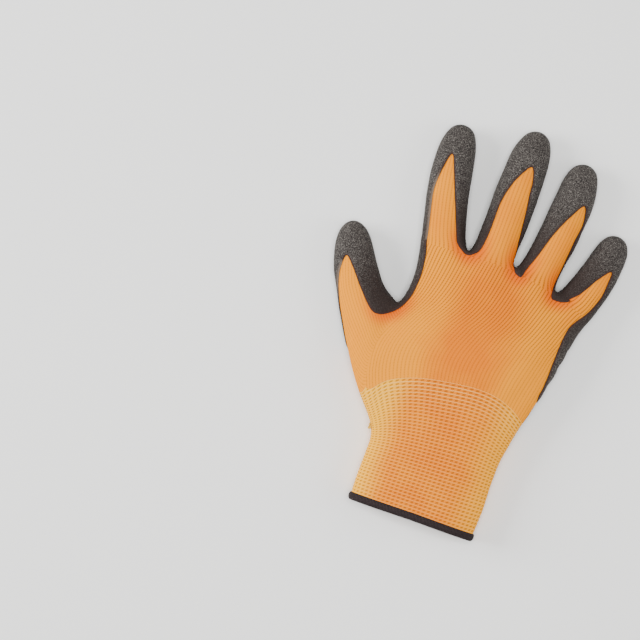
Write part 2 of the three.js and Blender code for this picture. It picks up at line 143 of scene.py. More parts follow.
@dataclass(frozen=True)
class SectionRow:
    """A section across the cuff or the hand.

    left and right are its side points as shares across and along, crown is how far its middle reaches
    towards the fingers, rise its depth and shoulder the lift of its thumb side, all as shares.
    """

    left: Share
    right: Share
    crown: float
    rise: float
    shoulder: float = 0.0


@dataclass(frozen=True)
class Digit:
    """A finger or the thumb: sizes in millimetres, its lean in degrees at the root and at the tip.

    set_out moves its root across the hand, and fades to nothing at its tip.
    """

    length: float
    width: float
    depth: float
    lean_root: float
    lean_tip: float
    taper: float
    set_out: float = 0.0

    def station(self, root: Vector, share: float) -> tuple[Vector, Vector]:
        """Returns the point on the digit's arc and the direction across it at a share of its length."""
        mean = math.radians(lerp(self.lean_root, self.lean_tip, share / 2))
        here = math.radians(lerp(self.lean_root, self.lean_tip, share))
        across = Vector((math.cos(here), -math.sin(here)))
        centre = root + Vector((math.sin(mean), math.cos(mean))) * (self.length * share)
        return centre + across * (self.set_out * (1 - share)), across


@dataclass(frozen=True)
class DigitRing:
    """A ring of a digit: along is a share of its length, lift of its depth, turn is in degrees."""

    along: float
    width: float
    depth: float
    lift: float
    turn: float = 0.0


@dataclass(frozen=True)
class Fold:
    """A dent pressed in along a line: ends as shares across and along, depth and width in millimetres."""

    start: Share
    end: Share
    depth: float
    width: float
    side: Side


@dataclass(frozen=True)
class TongueRow:
    """How far the bare knit reaches to the two sides of a digit, as shares of its width."""

    along: float
    left: float
    right: float


@dataclass(frozen=True)
class GloveSizes:
    """The driving sizes of the glove in millimetres, and the shares that shape it."""

    knit_wall: float = 1.1
    coat_wall: float = 1.0
    layer_gap: float = 0.3
    cuff_length: float = 76.0
    cuff_width: float = 81.0
    cuff_depth: float = 23.0
    hem_height: float = 5.0
    hem_wall: float = 1.0
    palm_length: float = 96.0
    palm_width: float = 118.0
    palm_depth: float = 28.0
    coat_reach: float = 26.0
    side_power: float = 2.3
    sole_power: float = 3.4
    crown_power: float = 3.0
    shoulder_power: float = 4.0
    palm_crown: float = 0.1
    side_rise: float = 0.46
    sole_flat: float = 1.2
    columns_on_back: int = 9
    side_column: float = 0.3
    web_rise: float = 0.78
    web_valley: float = 0.15
    web_slope: float = 0.1
    finger_start: float = 135.0
    thumb_start: float = 180.0
    tip_lift: float = 0.4
    thumb_root: Share = (-0.487, 0.302)
    hem_slope: tuple[float, float, float] = (1.9, 1.6, 0.25)
    hem_slope_reach: float = 24.0
    fit_rounds: int = 6

    @property
    def coat_step(self) -> float:
        """Height of the coat over the knit."""
        return self.layer_gap + self.coat_wall

    @property
    def raw_edge(self) -> float:
        """Where the cuff's raw edge lies inside the hem."""
        return self.hem_wall + self.layer_gap

    def hem_rise(self, across: np.ndarray) -> np.ndarray:
        """Returns how far the hem's line stands above the foot of the cuff at places across it."""
        half = self.cuff_width / 2
        return np.interp(across, (-half, 0.0, half), self.hem_slope)

    def hand_point(self, spot: Share) -> Vector:
        """Returns the plan point of a share across and along the hand."""
        return Vector((self.palm_width * spot[0], self.cuff_length + self.palm_length * spot[1]))

    def cuff_point(self, spot: Share) -> Vector:
        """Returns the plan point of a share across and along the cuff."""
        return Vector((self.cuff_width * spot[0], lerp(self.raw_edge, self.cuff_length, spot[1])))

    def finger_root(self, index: int) -> Vector:
        """Returns the middle of the web line under a finger."""
        return (self.hand_point(WEBS[index]) + self.hand_point(WEBS[index + 1])) / 2


FINGERS = {
    "index": Digit(
        length=77.9, width=25.5, depth=18.6, lean_root=-18, lean_tip=0.4, taper=0.93, set_out=-0.7),
    "middle": Digit(
        length=87.2, width=25.4, depth=19.0, lean_root=2.5, lean_tip=3.4, taper=0.99, set_out=0.6),
    "ring": Digit(
        length=80.3, width=23.5, depth=18.2, lean_root=13, lean_tip=-0.4, taper=1.01, set_out=-0.4),
    "little": Digit(
        length=53.0, width=24.4, depth=16.4, lean_root=25.5, lean_tip=8.5, taper=0.79, set_out=1.3),
}
THUMB = Digit(length=73.5, width=25.0, depth=20.0, lean_root=-43, lean_tip=-15, taper=0.98, set_out=-0.7)

CUFF_ROWS = (
    SectionRow(left=(-0.507, 0.0), right=(0.488, 0.0), crown=0.0, rise=1.0),
    SectionRow(left=(-0.511, 0.32), right=(0.508, 0.32), crown=0.0, rise=1.0),
    SectionRow(left=(-0.513, 0.62), right=(0.513, 0.69), crown=0.07, rise=1.06),
)
HAND_ROWS = (
    SectionRow(left=(-0.478, -0.085), right=(0.406, 0.05), crown=0.185, rise=0.95, shoulder=0.02),
    SectionRow(left=(-0.508, 0.25), right=(0.458, 0.31), crown=0.105, rise=1.03, shoulder=0.11),
    SectionRow(left=(-0.418, 0.55), right=(0.499, 0.555), crown=0.045, rise=0.98),
    SectionRow(left=(-0.382, 0.77), right=(0.527, 0.715), crown=0.035, rise=0.87),
)
# Both sides of the hand and the three webs between the fingers
WEBS = ((-0.409, 0.985), (-0.161, 1.0), (0.106, 0.995), (0.352, 0.925), (0.564, 0.835))

FINGER_RINGS = (
    DigitRing(along=0.11, width=1.0, depth=1.0, lift=0.13),
    DigitRing(along=0.38, width=0.99, depth=0.99, lift=0.13),
    DigitRing(along=0.66, width=0.965, depth=0.95, lift=0.0),
    DigitRing(along=0.86, width=0.84, depth=0.8, lift=-0.02),
    DigitRing(along=0.96, width=0.54, depth=0.5, lift=0.12),
)
THUMB_RINGS = (
    DigitRing(along=0.12, width=1.7, depth=1.22, lift=-0.03, turn=27),
    DigitRing(along=0.34, width=1.23, depth=1.08, lift=-0.02, turn=16),
    DigitRing(along=0.6, width=1.04, depth=1.01, lift=-0.02, turn=6),
    DigitRing(along=0.81, width=0.87, depth=0.88, lift=-0.01),
    DigitRing(along=0.94, width=0.55, depth=0.55, lift=0.12),
)

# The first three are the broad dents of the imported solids, the others are fine creases of the coat
FOLDS = (
    Fold(start=(-0.27, 0.62), end=(-0.44, 0.4), depth=1.4, width=11.2, side=Side.BACK),
    Fold(start=(0.3, 0.1), end=(0.44, 0.5), depth=0.98, width=9.8, side=Side.BACK),
    Fold(start=(0.53, 0.62), end=(0.36, 0.56), depth=1.4, width=8.4, side=Side.PALM),
    Fold(start=(0.57, 0.62), end=(0.45, 0.57), depth=0.6, width=3.4, side=Side.BOTH),
    Fold(start=(0.56, 0.5), end=(0.43, 0.47), depth=0.6, width=3.0, side=Side.BOTH),
    Fold(start=(0.52, 0.36), end=(0.4, 0.35), depth=0.45, width=3.2, side=Side.BOTH),
)


def tongue(*rows: tuple[float, float, float]) -> tuple[TongueRow, ...]:
    """Returns a tongue from its rows: how far along, and how far to the left and to the right."""
    return tuple(TongueRow(*row) for row in rows)


TONGUES = {
    "index": tongue(
        (0.04, -0.42, 0.32), (0.15, -0.385, 0.28), (0.31, -0.37, 0.22), (0.46, -0.36, 0.14),
        (0.62, -0.25, 0.035), (0.755, -0.1, -0.1),
    ),
    "middle": tongue(
        (0.06, -0.37, 0.53), (0.21, -0.315, 0.44), (0.42, -0.315, 0.352), (0.56, -0.225, 0.275),
        (0.65, -0.11, 0.24), (0.745, 0.1, 0.1),
    ),
    "ring": tongue(
        (0.06, -0.35, 0.5), (0.2, -0.27, 0.46), (0.33, -0.21, 0.43), (0.44, -0.125, 0.42),
        (0.575, 0.045, 0.44), (0.7, 0.29, 0.29),
    ),
    "little": tongue(
        (0.05, -0.23, 0.34), (0.17, -0.12, 0.365), (0.3, -0.05, 0.37), (0.45, 0.035, 0.31),
        (0.61, 0.22, 0.22),
    ),
}
THUMB_TONGUE = tongue(
    (0.24, -0.63, 0.13), (0.43, -0.525, 0.035), (0.54, -0.46, -0.02), (0.63, -0.37, -0.08),
    (0.72, -0.2, -0.2),
)
# The coat's edge round the crotches between the fingers
CROTCH_EDGES = (
    ((-0.186, 1.003), (-0.161, 0.992), (-0.136, 1.003)),
    ((0.104, 0.99), (0.124, 0.968), (0.15, 0.964)),
    ((0.335, 0.901), (0.364, 0.886), (0.407, 0.892), (0.441, 0.915)),
)
THUMB_WEB = ((-0.51, 0.442), (-0.45, 0.48), (-0.403, 0.542), (-0.37, 0.64), (-0.359, 0.78), (-0.37, 0.92))
BARE_SIDES = ((0.502, 0.8), (0.474, 0.735), (0.46, 0.63), (0.453, 0.48), (0.447, 0.33), (0.437, 0.25))
BARE_MEETS_THUMB_SIDE = (-0.64, 0.22)
BARE_MEETS_FAR_SIDE = (0.45, 0.16)
# Lower edge of the coat under the palm: share of the palm width, and share of the coat's reach below the
# cuff line
COAT_EDGE = (
    (-0.49, -0.2), (-0.385, 0.05), (-0.34, 0.24), (-0.254, 0.46), (-0.17, 0.7),
    (-0.085, 0.88), (0.0, 0.97), (0.085, 0.93), (0.17, 0.92), (0.24, 0.88), (0.36, 0.67),
)


class LinerCage:
    """The control mesh of the liner's surface, with the stitch coordinates of every corner."""

    wales_on_back = 54
    finger_wales = 4
    wale_mm = 2.0
    thumb_rows = 2

    def __init__(self, sizes: GloveSizes) -> None:
        """Builds the cage from its sizes."""
        self.sizes = sizes
        self.points: list[Vector] = []
        self.quads: list[list[int]] = []
        self.zones: list[Zone] = []
        self.stitches: list[list[Share]] = []
        self._build()
        self._drop_loose_points()

    def add_ring(self, ring: list[Vector]) -> list[int]:
        """Adds a ring of points and returns their numbers."""
        start = len(self.points)
        self.points.extend(ring)
        return list(range(start, len(self.points)))

    def add_quad(self, corners: list[int], zone: Zone, stitches: list[Share]) -> None:
        """Adds one quad with its zone and the stitch coordinates of its corners."""
        self.quads.append(corners)
        self.zones.append(zone)
        self.stitches.append(stitches)

    def add_band(
        self, rings: tuple[list[int], list[int]], zone: Zone, heights: Share,
        wales: tuple[list[float], list[float]], skip: tuple[int, ...] = (),
    ) -> None:
        """Adds the quads between two rings.

        Args:
            rings: Numbers of the points of the lower and of the upper ring.
            zone: The knit that the band belongs to.
            heights: Millimetres of knit at the lower and at the upper ring.
            wales: Wale numbers at the points of both rings, each with one more to close it.
            skip: Columns that are left open.
        """
        lower, upper = rings
        for column, corner in enumerate(lower):
            following = (column + 1) % len(lower)
            if column in skip:
                continue
            self.add_quad(
                [corner, lower[following], upper[following], upper[column]], zone,
                [(wales[0][column], heights[0]), (wales[0][column + 1], heights[0]),
                 (wales[1][column + 1], heights[1]), (wales[1][column], heights[1])],
            )

    def add_cap(self, ring: list[int], tip: Vector, heights: Share, wales: list[float]) -> None:
        """Closes a ring with quads that meet at the tip."""
        pole = self.add_ring([tip])[0]
        for column in range(0, len(ring), 2):
            self.add_quad(
                [ring[column], ring[column + 1], ring[(column + 2) % len(ring)], pole], Zone.HAND,
                [(wales[column], heights[0]), (wales[column + 1], heights[0]),
                 (wales[column + 2], heights[0]), (wales[column + 1], heights[1])],
            )

    def _steps_round(self, ring: list[int]) -> list[float]:
        """Returns the distance from each point of a ring to the next one."""
        return [
            (self.points[ring[(place + 1) % len(ring)]] - self.points[corner]).length
            for place, corner in enumerate(ring)
        ]

    def _count_wales(self, ring: list[int]) -> list[float]:
        """Returns the wale number at each point of a section, spread evenly over the back and the palm."""
        steps = self._steps_round(ring)
        half = len(ring) // 2
        wales = [0.0]
        for place, step in enumerate(steps):
            side = steps[:half] if place < half else steps[half:]
            wales.append(wales[-1] + self.wales_on_back * step / sum(side))
        return wales

    def _oval_height(self, share: float, power: float) -> float:
        """Returns the height of a closed oval section, 0 at its sides and 1 in its middle."""
        return (1 - abs(2 * share - 1) ** power) ** (1 / power)

    def _column_shares(self, fan: float) -> list[float]:
        """Returns the columns of the back, even where fan is 0 and gathered to the webs where it is 1."""
        sizes = self.sizes
        span = WEBS[-1][0] - WEBS[0][0]
        web = [(spot[0] - WEBS[0][0]) / span for spot in WEBS]
        knuckles: list[float] = []
        for left, right in zip(web, web[1:]):
            knuckles.extend((left, (left + right) / 2))
        knuckles[0] = sizes.side_column * knuckles[1]
        knuckles.append(1 - sizes.side_column * (1 - knuckles[-1]))
        return [
            lerp(0.5 - 0.5 * math.cos(math.pi * (column + 1) / (sizes.columns_on_back + 1)), share, fan)
            for column, share in enumerate(knuckles)
        ]

    def _spread_wales(self, ring: list[int]) -> list[float]:
        """Returns the wale numbers round a ring of the thumb, counted both ways from its back's middle."""
        steps = [step / self.wale_mm for step in self._steps_round(ring)]
        half = len(ring) // 2
        first = -sum(steps[:half // 2])
        wales = [first + sum(steps[:place]) for place in range(half + 1)]
        last = first + math.ceil(sum(steps))
        wales += [lerp(wales[half], last, (place + 1) / half) for place in range(half)]
        return wales

    def _section_ring(
        self, left: Vector, right: Vector, crown: float, depth: float, shoulder: float, fan: float,
    ) -> list[Vector]:
        """Returns the twenty points round a section of the cuff or the hand."""
        sizes = self.sizes
        shares = self._column_shares(fan)
        middle = sizes.coat_step + depth * sizes.side_rise

        def place(share: float, power: float, reach: float, arch: float) -> Vector:
            """Returns the section's point at a share of its breadth."""
            lifted = share + shoulder * (1 - share) ** sizes.shoulder_power
            bend = 1 - abs(2 * share - 1) ** sizes.crown_power
            return Vector((
                lerp(left.x, right.x, share),
                lerp(left.y, right.y, share) + arch * bend,
                middle + reach * self._oval_height(lifted, power),
            ))

        back = [place(share, sizes.side_power, depth * (1 - sizes.side_rise), crown) for share in shares]
        sole = -depth * sizes.side_rise - sizes.sole_flat
        palm = [place(share, sizes.sole_power, sole, crown * sizes.palm_crown) for share in reversed(shares)]
        return [Vector((*left, middle)), *back, Vector((*right, middle)), *palm]

    def _web_ring(self) -> tuple[list[Vector], list[Vector]]:
        """Returns the row of the web line and the three web points between its fingers."""
        sizes = self.sizes
        side = [sizes.hand_point(web) for web in WEBS]
        depth = sizes.palm_depth * sizes.web_rise
        lift = FINGERS["index"].depth * FINGER_RINGS[0].lift
        middle = sizes.coat_step + lift + (depth - lift) / 2
        last_inner = sizes.columns_on_back - 1

        def spot_at(share: float, height: float) -> Vector:
            """Returns the point of the web line at a share of its breadth."""
            x = lerp(side[0].x, side[-1].x, share)
            finger = next(index for index, web in enumerate(side) if x < web.x) - 1
            local = (x - side[finger].x) / (side[finger + 1].x - side[finger].x)
            return Vector((x, lerp(side[finger].y, side[finger + 1].y, local), height))

        def row(power: float, reach: float, slope: float) -> list[Vector]:
            """Returns the points of the back or of the palm side."""
            points = []
            for column, share in enumerate(self._column_shares(1.0)):
                over_web = column % 2 == 0 and 0 < column < last_inner
                height = reach * (1 - slope * share) * self._oval_height(share, power)
                valley = sizes.web_valley * depth * math.copysign(1, reach) if over_web else 0.0
                points.append(spot_at(share, middle + height - valley))
            return points

        back = row(sizes.side_power, depth / 2, sizes.web_slope)
        palm = row(sizes.sole_power, sizes.coat_step + lift - middle, 0.0)[::-1]
        webs = [Vector((*web, middle)) for web in side]
        return [webs[0], *back, webs[-1], *palm], webs[1:-1]

    def _grow_digit(
        self, base: list[int], root: Vector, digit: Digit, rings: tuple[DigitRing, ...],
        start: float, height: float, wales: list[float] | None = None,
    ) -> None:
        """Grows a finger or the thumb from a base ring of the cage.

        Args:
            base: Numbers of the points of the base ring.
            root: Plan point where the digit's arc starts.
            digit: Its sizes.
            rings: Its rings from the root to the tip.
            start: Degrees of a ring's first point, from the far side over the back.
            height: Millimetres of knit at the base ring.
            wales: Wale numbers round the digit with one more to close it, or none to count them anew
                on every ring.
        """
        last = base
        knit_from = height
        last_wales = wales or self._spread_wales(base)
        for ring in rings:
            centre, across = digit.station(root, ring.along)
            across = across.copy()
            across.rotate(Matrix.Rotation(math.radians(ring.turn), 2))
            half_width = digit.width * ring.width * lerp(1, digit.taper, ring.along) / 2
            half_depth = digit.depth * ring.depth / 2
            level = self.sizes.coat_step + digit.depth * ring.lift + half_depth
            points = []
            for step in range(len(base)):
                angle = math.radians(start - 360 * step / len(base))
                spot = centre + across * (half_width * math.cos(angle))
                points.append(Vector((*spot, level + half_depth * math.sin(angle))))
            following = self.add_ring(points)
            knit_to = height + digit.length * ring.along
            next_wales = wales or self._spread_wales(following)
            self.add_band((last, following), Zone.HAND, (knit_from, knit_to), (last_wales, next_wales))
            last = following
            last_wales = next_wales
            knit_from = knit_to
        end = digit.station(root, 1.0)[0]
        tip = Vector((*end, self.sizes.coat_step + digit.depth * self.sizes.tip_lift))
        self.add_cap(last, tip, (knit_from, height + digit.length), last_wales)

    def _build(self) -> None:
        """Builds the cuff, the hand, the fingers and the thumb."""
        sizes = self.sizes
        rings: list[list[int]] = []
        heights: list[float] = []
        wrist = len(CUFF_ROWS)
        parts = (
            (CUFF_ROWS, sizes.cuff_point, sizes.cuff_length, sizes.cuff_depth),
            (HAND_ROWS, sizes.hand_point, sizes.palm_length, sizes.palm_depth),
        )
        for rows, point_at, length, depth in parts:
            for row in rows:
                left, right = point_at(row.left), point_at(row.right)
                crown = length * row.crown
                fan = max(len(rings) + 1 - wrist, 0) / (len(HAND_ROWS) + 1)
                rings.append(self.add_ring(self._section_ring(
                    left, right, crown, depth * row.rise, row.shoulder, fan)))
                heights.append((left.y + right.y) / 2 + crown)
        web_row, web_points = self._web_ring()
        rings.append(self.add_ring(web_row))
        heights.append(sizes.cuff_length + sizes.palm_length)

        wales = [self._count_wales(ring) for ring in rings]
        for row in range(len(rings) - 1):
            zone = Zone.CUFF if row < wrist else Zone.HAND
            in_thumb = wrist <= row < wrist + self.thumb_rows
            skip = (0, len(rings[0]) - 1) if in_thumb else ()
            self.add_band(
                (rings[row], rings[row + 1]), zone, (heights[row], heights[row + 1]),
                (wales[row], wales[row + 1]), skip)
        self._grow_fingers(rings[-1], web_points, heights[-1])
        self._grow_thumb(rings[wrist:wrist + self.thumb_rows + 1], heights[wrist])

    def _grow_fingers(self, web_ring: list[int], web_points: list[Vector], height: float) -> None:
        """Grows the four fingers from the web line, each with wales of its own."""
        columns = self.sizes.columns_on_back
        web = [web_ring[0], *self.add_ring(web_points), web_ring[columns + 1]]
        back = web_ring[1:columns + 1]
        palm = web_ring[columns + 2:][::-1]
        for index, digit in enumerate(FINGERS.values()):
            first = 2 * index
            base = [
                back[first], back[first + 1], back[first + 2], web[index + 1],
                palm[first + 2], palm[first + 1], palm[first], web[index],
            ]
            round_wales = [float(self.finger_wales * step) for step in range(len(base) + 1)]
            self._grow_digit(
                base, self.sizes.finger_root(index), digit, FINGER_RINGS,
                self.sizes.finger_start, height, round_wales)

    def _grow_thumb(self, rows: list[list[int]], height: float) -> None:
        """Grows the thumb from the opening in the thumb side of the hand."""
        base = [rows[0][0], *(row[1] for row in rows), rows[-1][0], *(row[-1] for row in reversed(rows))]
        root = self.sizes.hand_point(self.sizes.thumb_root)
        self._grow_digit(base, root, THUMB, THUMB_RINGS, self.sizes.thumb_start, height)

    def _drop_loose_points(self) -> None:
        """Drops the points inside the thumb's root, which belong to no quad."""
        used = sorted({corner for quad in self.quads for corner in quad})
        place = {old: new for new, old in enumerate(used)}
        self.points = [self.points[old] for old in used]
        self.quads = [[place[corner] for corner in quad] for quad in self.quads]

    def fit(self) -> None:
        """Moves the control points until the smooth surface passes through the given ones."""
        target = [point.copy() for point in self.points]
        around = self._neighbours()
        for _ in range(self.sizes.fit_rounds):
            smooth = self._smooth_points(around)
            self.points = [
                point + wanted - reached for point, wanted, reached in zip(self.points, target, smooth)
            ]

    def _neighbours(self) -> list[tuple[set[int], list[int], set[int]]]:
        """Returns each point's neighbours along its edges, across its quads and along an open edge."""
        around = [(set(), [], set()) for _ in self.points]
        edges: dict[tuple[int, int], int] = {}
        for quad in self.quads:
            for place, corner in enumerate(quad):
                following = quad[(place + 1) % 4]
                around[corner][0].add(following)
                around[following][0].add(corner)
                around[corner][1].append(quad[(place + 2) % 4])
                key = (min(corner, following), max(corner, following))
                edges[key] = edges.get(key, 0) + 1
        for (first, second), count in edges.items():
            if count == 1:
                around[first][2].add(second)
                around[second][2].add(first)
        return around

    def _smooth_points(self, around: list[tuple[set[int], list[int], set[int]]]) -> list[Vector]:
        """Returns where the subdivision surface passes each control point."""
        smooth = []
        for point, (near, far, edge) in zip(self.points, around):
            if edge:
                total = sum((self.points[index] for index in sorted(edge)), point * 4)
                smooth.append(total / 6)
                continue
            valence = len(near)
            total = sum((self.points[index] for index in sorted(near)), Vector((0, 0, 0))) * 4
            total = sum((self.points[index] for index in far), total) + point * valence**2
            smooth.append(total / (valence * (valence + 5)))
        return smooth


def smooth_line(points: list[Vector], per_span: int) -> np.ndarray:
    """Returns a smooth open line through plan points.

    Args:
        points: The points that it passes through.
        per_span: Steps from one point to the next.

    Returns:
        The line's points, one per row.
    """
    line = []
    last = len(points) - 1
    for index in range(last):
        before, here = points[max(index - 1, 0)], points[index]
        following, after = points[index + 1], points[min(index + 2, last)]
        for step in range(per_span):
            t = step / per_span
            leave, arrive = (following - before) / 2, (after - here) / 2
            line.append(
                here * (2 * t**3 - 3 * t**2 + 1) + leave * (t**3 - 2 * t**2 + t)
                + following * (3 * t**2 - 2 * t**3) + arrive * (t**3 - t**2)
            )
    line.append(points[-1])
    return np.array([tuple(point) for point in line])


def signed_distance(spots: np.ndarray, loop: np.ndarray) -> np.ndarray:
    """Returns each plan point's distance to a closed outline, below zero inside it.

    Args:
        spots: Plan points, one per row.
        loop: The outline's points, one per row.
    """
    ends = np.roll(loop, -1, axis=0)
    nearest = np.full(len(spots), np.inf)
    inside = np.zeros(len(spots), dtype=bool)
    for start, end in zip(loop, ends):
        edge = end - start
        length = max(float(edge @ edge), 1e-12)
        share = np.clip(((spots - start) @ edge) / length, 0.0, 1.0)
        gap = spots - start - share[:, None] * edge
        nearest = np.minimum(nearest, (gap * gap).sum(axis=1))
        crosses = (start[1] > spots[:, 1]) != (end[1] > spots[:, 1])
        if start[1] != end[1]:
            at_x = start[0] + (spots[:, 1] - start[1]) / (end[1] - start[1]) * edge[0]
            inside ^= crosses & (spots[:, 0] < at_x)
    distance = np.sqrt(nearest)
    return np.where(inside, -distance, distance)


@dataclass
class CoatReach:
    """Which part of the surface the latex covers: the distance to its edge, above zero where it lies."""

    sizes: GloveSizes
    per_span: int = 6
    side_top: float = 11.9
    side_foot: float = 2.0
    foot_gain: float = 6.0
    bare: np.ndarray = field(init=False)
    below: np.ndarray = field(init=False)
    feet: Share = field(init=False)

    def __post_init__(self) -> None:
        """Draws the outlines of the bare back and of what lies below the coat's lower edge."""
        self.bare = self._close_below(smooth_line(self._bare_points(), self.per_span))
        edge = [
            Vector((self.sizes.palm_width * across, self.sizes.cuff_length - self.sizes.coat_reach * drop))
            for across, drop in COAT_EDGE
        ]
        lower = smooth_line(edge, self.per_span)
        self.below = self._close_below(lower)
        self.feet = (lower[0][1], lower[-1][1])

    def _tongue(self, rows: tuple[TongueRow, ...], root: Vector, digit: Digit) -> list[Vector]:
        """Returns the outline of a bare tongue, up its thumb side and down its far side."""
        def edge_point(along: float, offset: float) -> Vector:
            """Returns the point at a share of the width beside the digit's arc."""
            centre, across = digit.station(root, along)
            return centre + across * (digit.width * offset)

        rising = [edge_point(row.along, row.left) for row in rows]
        falling = [edge_point(row.along, row.right) for row in reversed(rows[:-1])]
        return rising + falling

    def _bare_points(self) -> list[Vector]:
        """Returns the points of the bare back's outline, from the thumb side to the far side."""
        hand_point = self.sizes.hand_point
        points = [hand_point(BARE_MEETS_THUMB_SIDE)]
        points += self._tongue(THUMB_TONGUE, hand_point(self.sizes.thumb_root), THUMB)
        points += [hand_point(spot) for spot in THUMB_WEB]
        for index, (name, digit) in enumerate(FINGERS.items()):
            points += self._tongue(TONGUES[name], self.sizes.finger_root(index), digit)
            beyond = CROTCH_EDGES[index] if index < len(CROTCH_EDGES) else BARE_SIDES
            points += [hand_point(spot) for spot in beyond]
        points.append(hand_point(BARE_MEETS_FAR_SIDE))
        return points

    def _close_below(self, line: np.ndarray) -> np.ndarray:
        """Closes a line that crosses the glove from side to side, far below the hem."""
        far = self.sizes.palm_width + self.sizes.cuff_width
        ends = [(far, line[-1][1]), (far, -far), (-far, -far), (-far, line[0][1])]
        return np.vstack([line, ends])

    def distance(self, points: np.ndarray) -> np.ndarray:
        """Returns the distance to the coat's edge for points of the surface, below zero on bare knit."""
        plan = points[:, :2]
        thumb_side = points[:, 0] < 0
        hand_point = self.sizes.hand_point
        top = np.where(thumb_side, hand_point(BARE_MEETS_THUMB_SIDE).y, hand_point(BARE_MEETS_FAR_SIDE).y)
        foot = np.where(thumb_side, *self.feet)
        rise = ease(points[:, 1], foot, top)
        side_line = self.side_foot + (self.side_top - self.side_foot) * rise
        # Low at the foot the line runs just over the flat sole, which is well inside the coat all the same
        below_line = (side_line - points[:, 2]) * (self.foot_gain + (1 - self.foot_gain) * rise)
        covered = np.maximum(signed_distance(plan, self.bare), below_line)
        return np.minimum(covered, signed_distance(plan, self.below))


@dataclass(frozen=True)
class OwnFrame:
    """Where the glove's own millimetres lie in the row frame."""

    shift_x: float
    shift_y: float

    def to_row(self, points: np.ndarray) -> np.ndarray:
        """Returns own points as metres in the row frame."""
        return (points + (self.shift_x, self.shift_y, 0.0)) * MM

    def to_own(self, points: np.ndarray) -> np.ndarray:
        """Returns row points as own millimetres."""
        return points / MM - (self.shift_x, self.shift_y, 0.0)


def read_points(mesh: Mesh) -> np.ndarray:
    """Returns a mesh's vertex places, one per row."""
    flat = np.empty(3 * len(mesh.vertices))
    mesh.vertices.foreach_get("co", flat)
    return flat.reshape(-1, 3)


def write_points(mesh: Mesh, points: np.ndarray) -> None:
    """Moves a mesh's vertices to new places."""
    mesh.vertices.foreach_set("co", points.ravel())
    mesh.update()


def read_normals(mesh: Mesh) -> np.ndarray:
    """Returns a mesh's vertex normals, one per row."""
    flat = np.empty(3 * len(mesh.vertices))
    mesh.vertex_normals.foreach_get("vector", flat)
    return flat.reshape(-1, 3)


def write_attribute(mesh: Mesh, name: str, values: np.ndarray) -> None:
    """Stores one number for each vertex of a mesh."""
    layer = mesh.attributes.new(name, "FLOAT", "POINT")
    layer.data.foreach_set("value", values)


def apply_modifier(obj: Object, kind: str, **settings: object) -> None:
    """Adds a modifier to a piece, sets it and applies it."""
    select_only(obj)
    modifier = obj.modifiers.new(kind.title(), kind)
    for name, value in settings.items():
        setattr(modifier, name, value)
    bpy.ops.object.modifier_apply(modifier=modifier.name)


def smooth_by_angle(obj: Object, degrees: float) -> None:
    """Shades a piece smooth, apart from edges that bend more than an angle."""
    select_only(obj)
    bpy.ops.object.shade_smooth_by_angle(angle=math.radians(degrees))


